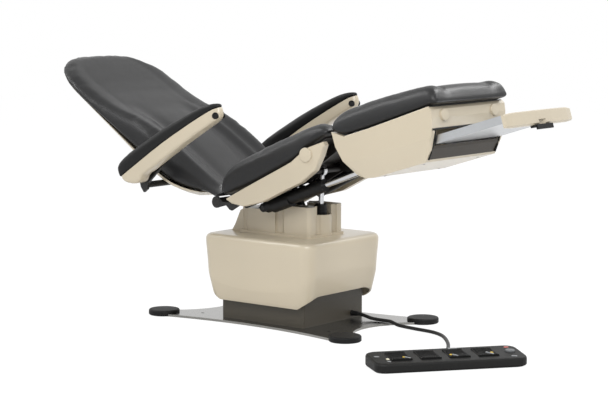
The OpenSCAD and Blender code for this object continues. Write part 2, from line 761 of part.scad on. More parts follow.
// Black hinge brackets at the seat's rear corners, each with a pointed toe
bracket_plate_t = 6;
bracket_ring = 6;
bracket_in = seat_rear_w / 2 - cover_set - side_cover_t - bracket_plate_t;
toe_points = [
    [0, 19], [16, 10], [24, 2], [60, 2], [112, 14], [104, -4], [70, -24], [60, -22], [44, -8], [0, -20]
];
module hinge_brackets() {
    color([0.05, 0.05, 0.05]) both_sides() difference() {
        across(bracket_in, bracket_in + bracket_plate_t) translate([hinge_x, hinge_h]) {
            circle(d = hinge_tube_d + 2 * bracket_ring, $fn = round_n);
            polygon(toe_points);
        }
        bore_across(hinge_x, hinge_h, hinge_tube_d + 2 * run_clear, bracket_in, bracket_in + bracket_plate_t);
    }
}

// Motors that move the back and the leg section, each a body and a rod
motor_d = 44;
motor_rod_d = 20;
lever_t = 4;
lever_gap = 4.5;
back_lever = 60;
back_swing = 14.5;
back_pin_s = hinge_s + back_lever * [-sin(back_swing), -cos(back_swing)];
leg_pin_l = [85, -120];
leg_pin_s = turn(turn(leg_pin_l, leg_rise) + [knee_x - tilt_x, knee_h - tilt_h], -seat_tilt);
back_span = norm(back_pin_s - back_motor_s);
leg_span = norm(leg_pin_s - leg_motor_s);
back_body_l = 225;
leg_body_l = 275;
overlap_l = 60;

module at_line(a, b, y) {
    at_seat() translate([a[0], y, a[1]]) rotate([0, -atan2(b[1] - a[1], b[0] - a[0]), 0]) children();
}

module motor_body(l) {
    difference() {
        union() {
            translate([motor_pin_d, 0, 0]) rotate([0, 90, 0]) cylinder(d = motor_d, h = l - motor_pin_d, $fn = round_n);
            shaft_across(0, 0, motor_d * 0.7, -motor_rod_d / 2, motor_rod_d / 2);
            translate([motor_d * 0.9, 0, -motor_d * 0.12]) rotate([0, 90, 0])
                cylinder(d = motor_d * 1.08, h = l * 0.3, $fn = round_n);
        }
        bore_across(0, 0, motor_pin_d + 2 * run_clear, -motor_d, motor_d);
        translate([motor_d, 0, 0]) rotate([0, 90, 0]) cylinder(d = motor_rod_d + 2 * run_clear, h = l, $fn = round_n);
    }
}

module motor_rod(body_l, span) {
    translate([body_l - overlap_l, 0, 0]) rotate([0, 90, 0])
        cylinder(d = motor_rod_d, h = span - body_l + overlap_l, $fn = round_n);
    shaft_across(span, 0, motor_rod_d, -motor_rod_d * 0.35, motor_rod_d * 0.35);
}

module back_motor() {
    color([0.10, 0.10, 0.11]) at_line(back_motor_s, back_pin_s, motor_y) motor_body(back_body_l);
}

module back_rod() {
    color(steel) at_line(back_motor_s, back_pin_s, motor_y) motor_rod(back_body_l, back_span);
}

module leg_motor() {
    color([0.10, 0.10, 0.11]) at_line(leg_motor_s, leg_pin_s, -motor_y) motor_body(leg_body_l);
}

module leg_rod() {
    color(steel) at_line(leg_motor_s, leg_pin_s, -motor_y) motor_rod(leg_body_l, leg_span);
}

// Back outline: place from the hinge, underside and bolster crest, as shares of length, drop and crest
back_shares = [
    [0, -0.36, 1], [0.035, -0.28, 1.0], [0.07, 0, 1.01], [0.105, 0.30, 1.02], [0.145, 0.57, 1.02],
    [0.19, 0.80, 1], [0.235, 0.94, 1], [0.29, 1, 0.98], [0.345, 1, 0.93], [0.40, 1, 0.80], [0.46, 1, 0.55],
    [0.52, 1, 0.24], [0.58, 1, -0.10], [0.64, 1, -0.36], [0.70, 1, -0.54], [0.77, 1, -0.65], [0.84, 1, -0.70],
    [0.89, 1, -0.74], [0.93, 1.0, -0.79], [0.965, 1.01, -0.86], [0.985, 1.03, -0.94], [0.996, 1.06, -1.05]
];
head_start_share = 0.77;
head_power_share = 2.4;
function back_half(s) =
    let (k = max(0, (s - head_start_share * back_l) / (back_l * (1 - head_start_share))),
         low = max(0, 1 - s / (0.2 * back_l)))
    back_w / 2 * pow(max(0.0001, 1 - pow(k, head_power_share)), 1 / head_power_share)
        - (back_w - seat_rear_w) / 2 * low;

back_dip = 26;
function back_dip_at(k) = back_dip * max(0, min(1, k * 12)) * max(0.06, min(1, (0.64 - k) * 4));
roll_angles = [12, 6];
roll_gap = 8;
roll_in = hinge_tube_d / 2 + roll_gap;
side_in = 1;

// Rings turn about the hinge at the lower end, then run straight up to the head
function back_rings() = concat(
    [for (a = roll_angles) [for (p = cushion_ring(0, back_half(0) - side_in, roll_in, back_crest, 0))
        [p[2] * sin(a), p[1], p[2] * cos(a)]]],
    [for (row = back_shares)
        cushion_ring(-row[0] * back_l, back_half(row[0] * back_l),
            row[0] == 0 ? roll_in : -row[1] * back_drop, row[2] * back_crest, back_dip_at(row[0]))]
);

module back_cushion() {
    rings = back_rings();
    color(hide) at_back() skin([for (i = [len(rings) - 1:-1:0]) rings[i]]);
}

// Moulded shell behind the back: a shallow tray, deepest at the lumbar
shell_loop_shares = [
    [1, 0], [0.995, 0.18], [0.97, 0.45], [0.90, 0.72], [0.76, 0.92], [0.5, 0.99], [0, 1]
];
shell_wall = 5;
shell_lip = 12;
shell_in = 2;
function shell_depth_at(k) =
    k < 0.12 ? shell_lip + (shell_depth - shell_lip) * pow(max(0, (k - 0.06) / 0.06), 0.5) :
    k < 0.45 ? shell_depth : shell_depth - (shell_depth - shell_lip * 1.6) * min(1, (k - 0.45) / 0.5);
function shell_ring(row) =
    let (s = row[0] * back_l, half = back_half(s) - shell_in, d = shell_depth_at(row[0]),
         rim = -row[1] * back_drop - touch_gap, t = min(shell_wall, half * 0.4, d * 0.4),
         m = len(shell_loop_shares))
    concat(
        [for (i = [0:m - 1]) let (p = shell_loop_shares[i]) [-s, p[0] * half, rim - p[1] * d]],
        [for (i = [m - 2:-1:0]) let (p = shell_loop_shares[i]) [-s, -p[0] * half, rim - p[1] * d]],
        [for (i = [0:m - 1]) let (p = shell_loop_shares[i]) [-s, -p[0] * (half - t), rim - p[1] * (d - t)]],
        [for (i = [m - 2:-1:0]) let (p = shell_loop_shares[i]) [-s, p[0] * (half - t), rim - p[1] * (d - t)]]
    );

module back_shell() {
    rows = [for (i = [2:len(back_shares) - 2]) back_shares[i]];
    color(beige) at_back() difference() {
        skin([for (row = rows) shell_ring(row)], strip = true);
        bore_across(hub_x, hub_z, hub_d + hub_room, -back_w / 2, back_w / 2);
    }
}

// Back frame: hinge tube, two rails under the cushion and the motor's lever
rail_apart = 4;
back_rail_in = rail_in - rail_t - rail_apart;
hub_share = 0.239;
hub_x = -hub_share * back_l;
hub_z = -84;
hub_d = 22;
hub_room = 3;
hub_boss_t = 6;
back_rail_h = 18;
neck_down = 12;
lumbar_down = 50;
rail_under = 20;
head_under = 13;
back_tube_d = 14;
back_tube_under = 16;
tube_end = 1;
back_lever_w = 24;

module back_frame() {
    lever_l = turn(back_pin_s - hinge_s, seat_tilt + back_rise);
    rail_pts = [[0, 0], [-back_l * 0.07, -neck_down], [-back_l * 0.14, -lumbar_down],
        [-back_l * 0.26, -back_drop - rail_under], [-back_l * 0.80, -back_drop - head_under]];
    color(dark_steel) at_back() difference() {
        union() {
            shaft_across(0, 0, hinge_tube_d, -bracket_in - bracket_plate_t - tube_end, bracket_in + bracket_plate_t + tube_end);
            both_sides() across(back_rail_in, back_rail_in + rail_t) {
                bar_outline(rail_pts, back_rail_h);
                translate([hub_x, hub_z]) circle(d = hub_d + 2 * hub_boss_t, $fn = round_n);
            }
            for (k = [0.45, 0.78])
                shaft_across(-back_l * k, -back_drop - back_tube_under, back_tube_d, -back_rail_in - tube_out, back_rail_in + tube_out);
            for (s = [-1, 1]) {
                y0 = motor_y + s * (motor_rod_d * 0.35 + lever_gap + lever_t / 2) - lever_t / 2;
                across(y0, y0 + lever_t) bar_outline([[0, 0], lever_l], back_lever_w);
            }
        }
        bore_across(hub_x, hub_z, hub_d + 2 * run_clear, -back_rail_in - rail_t, back_rail_in + rail_t);
    }
}

// Armrests: a black bracket on the back, and a beige shell with a pad that swings on it
arm_c = turn([hub_x, hub_z], -back_rise) + [hinge_x, hinge_h];
arm_x = -345;
arm_h = 535;
bracket_t = 10;
bracket_gap = 5;
bracket_y = arm_gauge / 2 - arm_w / 2 - bracket_t - bracket_gap;
arm_pin_d = 16;
arm_pin_a = [0, -16];
arm_pin = turn(arm_pin_a, arm_rise) + [arm_x, arm_h];
hub_in = 6;
hook_points = [[-14, 18], [-8, -6], [6, -24], [22, -12], [26, 10]];
blade_points = [[96, 44], [88, 58], [-10, 14], [-24, -6]];

module at_arm() {
    translate([arm_x, 0, arm_h]) rotate([0, -arm_rise, 0]) children();
}

module arm_bracket() {
    color([0.05, 0.05, 0.05]) {
        shaft_across(arm_c[0], arm_c[1], hub_d, back_rail_in - hub_in, bracket_y);
        across(bracket_y, bracket_y + bracket_t) {
            polygon(concat(
                [for (p = hook_points) arm_c + p],
                [for (p = blade_points) [arm_x, arm_h] + p]
            ));
            translate(arm_pin) circle(d = arm_pin_d * 2, $fn = round_n);
        }
        shaft_across(arm_pin[0], arm_pin[1], arm_pin_d, bracket_y, arm_gauge / 2 + arm_w * 0.3);
    }
}

module arm_bracket_left() {
    arm_bracket();
}

module arm_bracket_right() {
    mirror([0, 1, 0]) arm_bracket();
}

// Side outline of the arm's shell, as shares of the arm's length along and of the pad's thickness up
arm_shell_shares = [
    [-0.165, 0.02], [-0.15, -0.36], [-0.112, -0.70], [-0.08, -0.76], [0.065, -0.63], [0.40, -0.36],
    [0.73, -0.14], [0.79, -0.10], [0.815, 0.06], [0.82, 0.24], [0.808, 0.37], [0.79, 0.37]
];
arm_edge = 7;

module arm_shell_body() {
    pts = [for (p = arm_shell_shares) [p[0] * arm_l, p[1] * arm_pad_t]];
    half = arm_w / 2;
    mid = [arm_l * 0.33, -arm_pad_t * 0.1];
    function ring(k, y) = [for (p = pts) [p[0] < mid[0] ? p[0] + arm_edge * (1 - k) : p[0] - arm_edge * (1 - k), y,
        p[1] < mid[1] ? p[1] + arm_edge * (1 - k) : p[1]]];
    skin([ring(0, half), ring(0.7, half - arm_edge * 0.3), ring(1, half - arm_edge), ring(1, arm_edge - half),
        ring(0.7, arm_edge * 0.3 - half), ring(0, -half)]);
}

module out_arm() {
    translate([0, arm_gauge / 2, 0]) children();
}

module arm_shell_left() {
    color(beige) difference() {
        at_arm() out_arm() arm_shell_body();
        shaft_across(arm_pin[0], arm_pin[1], arm_pin_d + 2 * run_clear, 0, arm_gauge / 2 + arm_w * 0.3 + cut);
        at_arm() out_arm() bore_across(plug_at[0], plug_at[1], plug_d * 0.6, -arm_w / 2, arm_w / 2);
    }
}

module arm_shell_right() {
    mirror([0, 1, 0]) arm_shell_left();
}

// Arm pad: thick at the elbow, thin at the hand, with a rounded upper edge
arm_pad_shares = [
    [-0.182, 0.42, 0.60], [-0.175, 0.20, 0.80], [-0.15, 0.08, 0.93], [-0.10, 0.04, 1.05], [-0.03, 0.05, 1.09],
    [0.08, 0.085, 1.10], [0.25, 0.145, 1.10], [0.45, 0.215, 1.10], [0.62, 0.28, 1.08], [0.71, 0.315, 1.02],
    [0.775, 0.34, 0.86], [0.815, 0.37, 0.68], [0.838, 0.42, 0.58], [0.845, 0.47, 0.52]
];
pad_loop_shares = [
    [0, 0], [0.86, 0], [0.98, 0.08], [1, 0.35], [0.99, 0.62], [0.90, 0.86], [0.70, 0.97], [0.35, 1], [0, 1]
];

// Line where a pad meets its shell
seam_shares = [[-0.165, 0.02], [0.79, 0.37]];
pad_over = 2;
pad_on = 0.45;
module arm_pad_body() {
    half = arm_w / 2 + pad_over;
    m = len(pad_loop_shares);
    ends = len(arm_pad_shares) - 1;
    skin([for (i = [0:ends]) let (row = arm_pad_shares[i], x = row[0] * arm_l,
        zb = arm_pad_t * max(row[1], lookup(row[0], seam_shares)) + pad_on,
        zt = row[2] * arm_pad_t, e = min(i, ends - i), h = half * (e == 0 ? 0.72 : (e == 1 ? 0.9 : 1)))
        concat(
            [for (j = [0:m - 1]) let (p = pad_loop_shares[j]) [x, p[0] * h, zb + p[1] * (zt - zb)]],
            [for (j = [m - 2:-1:1]) let (p = pad_loop_shares[j]) [x, -p[0] * h, zb + p[1] * (zt - zb)]]
        )
    ]);
}

module arm_pad_left() {
    color(hide) at_arm() out_arm() arm_pad_body();
}

module arm_pad_right() {
    mirror([0, 1, 0]) arm_pad_left();
}

// Black plugs near the hand end of each arm, one on each face
plug_at = [0.762 * arm_l, 0.13 * arm_pad_t];
plug_d = 26;
plug_h = 5;
module arm_plugs() {
    color([0.05, 0.05, 0.05]) at_arm() out_arm() both_sides()
        translate([plug_at[0], -arm_w / 2, plug_at[1]]) rotate([90, 0, 0]) {
            cylinder(d = plug_d, h = plug_h, $fn = round_n);
            translate([0, 0, -arm_w * 0.2]) cylinder(d = plug_d * 0.6, h = arm_w * 0.2 + cut, $fn = round_n);
        }
}

module arm_plugs_left() {
    arm_plugs();
}

module arm_plugs_right() {
    mirror([0, 1, 0]) arm_plugs();
}

// Leg section: side outline of the housing, and the same with everything below the crease lifted to it
floor_shares = [[0, 0], [0.35, 0], [0.62, 0.026], [0.94, 0.065], [1.1, 0.065]];
function leg_floor(k) = housing_d * lookup(k, floor_shares);
crease_share = 0.56;
housing_shares = [
    [0.026, -0.16], [0.03, 0.17], [0.068, 0.51], [0.15, 0.865], [0.215, 0.985], [0.30, 1.027], [0.78, 1.027],
    [0.855, 0.79], [0.915, 0.47], [0.945, 0.20], [0.954, 0.0], [0.94, -0.065], [0.62, -0.026], [0.35, 0],
    [0.138, 0], [0.07, -0.09]
];
housing_in = 12;
housing_wall = 8;

function lifted_x(p) =
    p[1] > crease_share && p[0] < 0.2 ? p[0] * leg_l - (p[1] - crease_share) * leg_l * 0.16 :
    p[1] > crease_share && p[0] > 0.7 ? leg_l * (0.897 - (p[0] < 0.8 ? 0.02 : 0)) : p[0] * leg_l;

function housing_loop(y, lift) = [for (p = housing_shares)
    [lift ? lifted_x(p) : p[0] * leg_l, y,
     -(lift ? min(p[1], crease_share + p[1] * 0.01) : p[1]) * housing_d - (p[1] < 0.05 && p[1] > -0.08 ? pan_t : 0)]];

opening_top = 0.42;
opening_room = 7;
slot_w = 34;
module leg_housing() {
    half = housing_w / 2;
    color(beige) at_leg() difference() {
        skin([housing_loop(half, true), housing_loop(half - housing_in, false),
            housing_loop(housing_in - half, false), housing_loop(-half, true)], strip = true);
        // Hollow: open above for the pan, behind for the rods and at the foot end for the tray
        across(housing_in + housing_wall - half, half - housing_in - housing_wall) polygon([
            [-leg_l * 0.1, housing_d], [-leg_l * 0.1, -housing_d * 0.975], [leg_l * 0.76, -housing_d * 0.975],
            [leg_l * 0.835, -housing_d * 0.76], [leg_l * 0.897, -housing_d * 0.45], [leg_l * 0.93, 0],
            [leg_l * 0.93, housing_d]
        ]);
        translate([leg_l * 0.72, -tray_w / 2 - opening_room, -housing_d * 0.985])
            cube([leg_l * 0.4, tray_w + 2 * opening_room, housing_d * (0.985 - opening_top)]);
        // Slot that the leg motor's rod swings through
        across(-motor_y - slot_w / 2, slot_w / 2 - motor_y) polygon([
            [0, -housing_d * 0.5], [leg_l * 0.27, -housing_d * 0.5], [leg_l * 0.27, -housing_d * 1.1], [0, -housing_d * 1.1]
        ]);
    }
}

// Dark panel that closes the lower part of the foot end
module leg_end_panel() {
    half = tray_w / 2 + opening_room;
    color([0.25, 0.22, 0.17]) at_leg() across(-half, half) polygon([
        [leg_l * 0.762, -housing_d * 0.985], [leg_l * 0.793, -housing_d * 0.985], [leg_l * 0.852, -housing_d * 0.795],
        [leg_l * 0.864, -housing_d * 0.74], [leg_l * 0.84, -housing_d * 0.74]
    ]);
}

// Round bosses on the upper band of the foot end
end_boss_d = 40;
end_boss_up = 6;
module housing_bosses() {
    face_tilt = 5;
    color([0.84, 0.81, 0.74]) at_leg() both_sides()
        translate([leg_l * 0.941, -housing_w * 0.34, -housing_d * 0.15]) rotate([0, 90 + face_tilt, 0])
            rotate_extrude($fn = round_n) polygon(concat(
                [[0, 0], [end_boss_d / 2, 0]],
                arc(end_boss_d / 2 - cap_soft, end_boss_up, cap_soft, 0, 90, 4),
                [[0, end_boss_up + cap_soft * 1.3]]
            ));
}

leg_pan_in = 6;
module leg_pan() {
    half = housing_w / 2 - leg_pan_in;
    ks = [0.14, 0.35, 0.62, 0.935];
    color(dark_steel) at_leg() across(-half, half) polygon(concat(
        [for (k = ks) [k * leg_l, leg_floor(k)]],
        [for (i = [len(ks) - 1:-1:0]) [ks[i] * leg_l, leg_floor(ks[i]) - pan_t]]
    ));
}

// Leg cushion: place along, underside and crest, as shares of length and thickness
leg_shares = [
    [0, 0.44, 0.60], [0.008, 0.365, 0.73], [0.03, 0.275, 0.82], [0.07, 0.14, 0.91], [0.128, 0.02, 0.955],
    [0.22, 0, 0.987], [0.36, 0, 1], [0.52, 0, 0.974], [0.68, 0, 0.92], [0.84, 0, 0.85], [0.93, 0, 0.80],
    [0.975, 0.01, 0.74], [0.993, 0.07, 0.65], [1, 0.20, 0.52]
];
leg_x0 = 6;
leg_dip = 5;
module leg_cushion() {
    ends = len(leg_shares) - 1;
    color(hide) at_leg() skin([for (i = [0:ends])
        let (row = leg_shares[i], e = min(i, ends - i), half = leg_w / 2 * (e == 0 ? 0.92 : (e == 1 ? 0.97 : 1)))
        cushion_ring(leg_x0 + row[0] * leg_l, half, max(row[1] * leg_cushion_t, leg_floor(row[0] + leg_x0 / leg_l)),
            row[2] * leg_cushion_t, leg_dip * min(1, e / 3))
    ]);
}

// Leg frame: knee tube, two rails under the pan and the lever of the leg motor
leg_rail_in = rail_in - rail_t - rail_apart;
leg_rail_h = 26;
knee_down = 3.5;
leg_tube_d = 16;
leg_tube_down = 22;
lever_bend = 60;
leg_lever_w = 28;
module leg_frame() {
    color(dark_steel) at_leg() {
        shaft_across(0, 0, knee_d, -motor_y - motor_stub, motor_y + motor_stub);
        both_sides() across(leg_rail_in, leg_rail_in + rail_t) bar_outline([
            [0, 0], [leg_l * 0.1, -pan_t - leg_rail_h / 2 - knee_down],
            [leg_l * 0.2, -pan_t - leg_rail_h / 2], [leg_l * 0.88, -pan_t - leg_rail_h / 2]
        ], leg_rail_h);
        for (k = [0.32, 0.82])
            shaft_across(leg_l * k, -leg_tube_down, leg_tube_d, -leg_rail_in - tube_out, leg_rail_in + tube_out);
        for (s = [-1, 1]) {
            y0 = -motor_y + s * (motor_rod_d * 0.35 + lever_gap + lever_t / 2) - lever_t / 2;
            across(y0, y0 + lever_t) bar_outline([[0, 0], [leg_l * 0.1, -lever_bend], leg_pin_l], leg_lever_w);
        }
    }
}

// Drain tray and its front
tray_wall = 2;
tray_x = 0.915 * leg_l;
tray_z = -0.625 * housing_d;
tray_in = 40;
front_t = 14;
front_w = 380;
front_up = 15;
front_down = 31;
front_bow = 8;
front_soft = 3;
front_chin = 5;
front_pinch = 3;
scoop_r = 26;
scoop_out = 24;
scoop_h = 17;

module at_tray() {
    at_leg() translate([tray_x, 0, tray_z]) children();
}

module drain_tray() {
    l = tray_out + tray_in;
    color([0.80, 0.82, 0.83]) at_tray() translate([-tray_in, 0, 0]) difference() {
        translate([0, -tray_w / 2, -tray_h / 2]) cube([l, tray_w, tray_h]);
        translate([tray_wall, tray_wall - tray_w / 2, tray_wall - tray_h / 2])
            cube([l - 2 * tray_wall, tray_w - 2 * tray_wall, tray_h]);
    }
}

handle_w = 90;
handle_t = 7;
handle_lip = 6;
handle_drop = 9;
handle_set = 2;
handle_reach = 12;
module tray_front() {
    color(beige) at_tray() difference() {
        skin([for (k = [0:1:12])
            let (a = -1 + k / 6, y = a * front_w / 2, pinch = abs(a) > 0.99 ? front_pinch : 0,
                 x = tray_out + front_t + front_bow * (1 - a * a) - pinch)
            [[tray_out, y, -front_down + pinch], [tray_out, y, front_up - pinch],
             [x - front_soft, y, front_up - pinch], [x, y, front_up - front_soft - pinch],
             [x, y, -front_down + front_chin + pinch], [x - front_chin, y, -front_down + pinch]]]);
        // Scoop above the handle
        translate([tray_out + front_t + scoop_out, 0, -front_down - cut]) cylinder(r = scoop_r, h = scoop_h, $fn = round_n);
    }
}

module tray_handle() {
    color([0.05, 0.05, 0.05]) at_tray() {
        translate([tray_out + handle_set, -handle_w / 2, -front_down - handle_t])
            cube([front_t + handle_reach, handle_w, handle_t - touch_gap]);
        translate([tray_out + front_t + handle_set + handle_reach - handle_lip, -handle_w / 2, -front_down - handle_t - handle_drop])
            cube([handle_lip, handle_w, handle_drop + cut]);
    }
}

// Runners in the housing that carry the tray
runner_t = 2.5;
runner_w = 14;
runner_back = 35;
module tray_runners() {
    l = leg_l * 0.64;
    wall_y = housing_w / 2 - housing_in - housing_wall;
    color(steel) at_tray() both_sides() {
        translate([-l, wall_y - runner_w, -tray_h / 2 - touch_gap - runner_t]) cube([l - runner_back, runner_w, runner_t]);
        translate([-l, wall_y - runner_t, -tray_h / 2 - touch_gap - cut]) cube([l - runner_back, runner_t, tray_h]);
    }
}

// Foot control on the floor, its four rockers and one stop button
board_x = 887;
board_y = -342;
board_turn = 53;
pad_t = 3;
pedal_w = 84;
pedal_h = 9;
pedal_pitch = 92;
pedal_first_share = 1.65;
pocket = 1;
axle_d = 6;
axle_out = 5;
axle_up = 1;
pedal_down = 9;
pedal_z = board_h - pedal_down;
pedal_well = 10;
board_r = 30;
board_foot = 4;
board_side_down = 7;
board_soft = 2;
board_rim = 6;
board_in = 3;
pad_in = 8;
open_up = 40;

module at_board() {
    translate([board_x, board_y, 0]) rotate([0, 0, board_turn]) children();
}

function board_ring(inset, z, slope) = [for (p = concat(
    [[board_l / 2 - inset, -board_w / 2 + board_r], [board_l / 2 - inset, board_w / 2 - board_r]],
    arc(board_l / 2 - board_r - inset, board_w / 2 - board_r, board_r, 0, 90, 5),
    arc(-board_l / 2 + board_r + inset, board_w / 2 - board_r, board_r, 90, 180, 5),
    arc(-board_l / 2 + board_r + inset, -board_w / 2 + board_r, board_r, 180, 270, 5),
    arc(board_l / 2 - board_r - inset, -board_w / 2 + board_r, board_r, 270, 360, 5)
)) [p[0], p[1] * (1 - 2 * inset / board_w), z - slope * (board_w / 2 - p[1]) / board_w]];

front_slope = 10;
stop_in = 37;
stop_x = board_l / 2 - stop_in;
stop_d = 30;
stop_well = 6;
stop_rest = 4;
stop_up = 9;
stop_soft = 2.5;
stop_dome = 1;
cord_grip = 18;
rocker_soft = 1.5;
rocker_in = 2;

function pedal_x(i) = (i - pedal_first_share) * pedal_pitch;

module pedal_board() {
    color([0.16, 0.16, 0.155]) at_board() difference() {
        skin([
            board_ring(board_in, pad_t, 0), board_ring(0, pad_t + board_foot, 0),
            board_ring(0, board_h - board_side_down, front_slope),
            board_ring(board_soft, board_h - board_soft, front_slope), board_ring(board_rim, board_h, front_slope)
        ]);
        for (i = [0:3]) translate([pedal_x(i), 0, pedal_z]) rotate([board_slope, 0, 0]) {
            translate([-pedal_l / 2 - pocket, -pedal_w / 2 - pocket, -pedal_well])
                cube([pedal_l + 2 * pocket, pedal_w + 2 * pocket, open_up]);
            translate([-pedal_l / 2 - axle_out - cut, 0, axle_up]) rotate([0, 90, 0])
                cylinder(d = axle_d + 2 * run_clear, h = pedal_l + 2 * axle_out + 2 * cut, $fn = round_n);
        }
        at_stop() cylinder(d = stop_d + 2 * run_clear, h = open_up, $fn = round_n);
        translate([cord_at, board_w / 2 + cut, cord_end_z]) rotate([90, 0, 0])
            cylinder(d = cord_d + gland_room, h = cord_grip, $fn = round_n);
    }
}
board_slope = atan(front_slope / board_w);
cord_at = 41;
cord_end_z = 20;

// Place of the stop button's bore, square to the board's sloping top
module at_stop() {
    translate([stop_x, 0, pedal_z - stop_well]) rotate([board_slope, 0, 0]) children();
}

module board_pad() {
    color([0.08, 0.08, 0.08]) at_board() linear_extrude(height = pad_t)
        polygon([for (p = board_ring(pad_in, 0, 0)) [p[0], p[1]]]);
}

// Rocker: a dished pad on an axle along the board
module rocker(i) {
    color([0.10, 0.10, 0.10]) at_board() translate([pedal_x(i), 0, pedal_z]) rotate([board_slope, 0, 0]) {
        skin([for (k = [0:8]) let (t = -1 + k / 4, y = t * pedal_w / 2, up = pedal_h * (0.55 + 0.45 * t * t) )
            [[-pedal_l / 2, y, 0], [pedal_l / 2, y, 0], [pedal_l / 2, y, up - rocker_soft], [pedal_l / 2 - rocker_in, y, up],
             [rocker_in - pedal_l / 2, y, up], [-pedal_l / 2, y, up - rocker_soft]]]);
        translate([-pedal_l / 2 - axle_out, 0, axle_up]) rotate([0, 90, 0])
            cylinder(d = axle_d, h = pedal_l + 2 * axle_out, $fn = round_n);
    }
}

module rocker_pedal_1() {
    rocker(0);
}

module rocker_pedal_2() {
    rocker(1);
}

module rocker_pedal_3() {
    rocker(2);
}

module rocker_pedal_4() {
    rocker(3);
}

module stop_button() {
    color([0.35, 0.36, 0.38]) at_board() at_stop() translate([0, 0, stop_rest])
        rotate_extrude($fn = round_n) polygon(concat(
            [[0, 0], [stop_d / 2, 0]],
            arc(stop_d / 2 - stop_soft, stop_up, stop_soft, 0, 90, 4),
            [[0, stop_up + stop_soft + stop_dome]]
        ));
}

// Control cord: gland on the skirt's foot end, then along the plate and the floor to the board
gland_tail = 12;
gland_slack = 0.2;
gland_lip_h = 4;
gland_wall = 3;
gland_nose = 26;
gland_hold = 3;
module cord_gland() {
    face = skirt_x0 + skirt_l / 2;
    color([0.07, 0.07, 0.07]) translate([face, gland_y, gland_z]) rotate([0, 90, 0]) difference() {
        union() {
            rotate_extrude($fn = round_n) polygon([
                [0, -gland_tail], [gland_bore_d / 2 - gland_slack, -gland_tail], [gland_bore_d / 2 - gland_slack, 0],
                [gland_bore_d / 2 + gland_lip, 0], [gland_bore_d / 2 + gland_lip, gland_lip_h],
                [cord_d / 2 + gland_wall, gland_lip_h * 1.5], [cord_d / 2 + gland_wall / 2, gland_nose], [0, gland_nose]
            ]);
        }
        translate([0, 0, gland_nose - gland_hold]) cylinder(d = cord_d, h = gland_hold + cut, $fn = round_n);
    }
}

gland_out = skirt_x0 + skirt_l / 2 + gland_nose - gland_hold;
cord_lead = 22;
cord_near = 4;
function board_point(x, y, z) = [board_x + x * cos(board_turn) - y * sin(board_turn),
    board_y + x * sin(board_turn) + y * cos(board_turn), z];
cord_route = [
    [gland_out, gland_y, gland_z], [222, 101, 24.5], [244, 99, 21.5], [268, 98, 17], [292, 100, 14.8],
    [318, 101, 14.4], [339, 100, 14.6], [352, 99, 14], [370, 96, 10], [388, 92, 7], [410, 88, 6.2],
    [444, 81, 6.2], [480, 75, 6.2], [516, 71, 6.2], [550, 64, 6.2], [584, 49, 6.2], [616, 27, 6.2],
    [648, -4, 6.2], [680, -40, 6.2], [706, -72, 6.2], [730, -105, 6.4], [752, -138, 7.4], [774, -171, 10],
    [796, -200, 14], [818, -226, 18],
    board_point(cord_at, board_w / 2 + cord_lead, cord_end_z), board_point(cord_at, board_w / 2 + cord_near, cord_end_z),
    board_point(cord_at, board_w / 2 + cut - cord_grip, cord_end_z)
];
cord_sides = 8;
cord_steps = 2;

// Points between the route's own, on a smooth curve through them
function smooth_at(i, t) =
    let (n = len(cord_route) - 1, a = cord_route[max(i - 1, 0)], b = cord_route[i], c = cord_route[min(i + 1, n)],
         d = cord_route[min(i + 2, n)])
    0.5 * (2 * b + (c - a) * t + (2 * a - 5 * b + 4 * c - d) * t * t + (3 * b - a - 3 * c + d) * t * t * t);
cord_points = concat(
    [for (i = [0:len(cord_route) - 2]) for (k = [0:cord_steps - 1]) smooth_at(i, k / cord_steps)],
    [cord_route[len(cord_route) - 1]]
);
function unit(v) = v / norm(v);
function cord_dir(i) = i == 0 ? [1, 0, 0] : i == len(cord_points) - 1 ? [sin(board_turn), -cos(board_turn), 0] :
    unit(cord_points[min(i + 1, len(cord_points) - 1)] - cord_points[i - 1]);

module pedal_cord() {
    color([0.10, 0.10, 0.10]) skin([for (i = [0:len(cord_points) - 1])
        let (d = cord_dir(i), side = unit(cross(d, [0, 0, 1])), up = cross(side, d))
        [for (j = [0:cord_sides - 1]) let (a = 360 * (j + 0.5) / cord_sides)
            cord_points[i] + cord_d / 2 * (cos(a) * side + sin(a) * up)]
    ]);
}

base_plate();
foot_caps();
base_skirt();
column_base();
lift_motor();
cord_gland();
pedal_cord();
pedal_board();
board_pad();
rocker_pedal_1();
rocker_pedal_2();
rocker_pedal_3();
rocker_pedal_4();
stop_button();
middle_skirt();
column_middle();
spindle_middle();
base_shroud();
column_cover();
column_top();
spindle_top();
column_head();
tilt_shaft();
tilt_cylinder();
tilt_rod();
seat_frame();
seat_pan();
seat_cushion();
seat_cover_right();
seat_cover_left();
pivot_caps();
hinge_brackets();
back_motor();
back_rod();
leg_motor();
leg_rod();
back_frame();
back_shell();
back_cushion();
arm_bracket_right();
arm_bracket_left();
arm_shell_right();
arm_shell_left();
arm_pad_right();
arm_pad_left();
arm_plugs_right();
arm_plugs_left();
leg_frame();
leg_housing();
leg_end_panel();
housing_bosses();
leg_pan();
leg_cushion();
tray_runners();
drain_tray();
tray_front();
tray_handle();
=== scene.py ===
"""A powered treatment chair with folding arms, a drain tray and a wired foot control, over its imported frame.

All lengths are in metres in the frame's own axes: +X to the foot end, +Y to the sitter's left, +Z up.
"""

import json
import math

import bmesh
import bpy
import numpy as np
from mathutils import Matrix, Vector
from mathutils.bvhtree import BVHTree


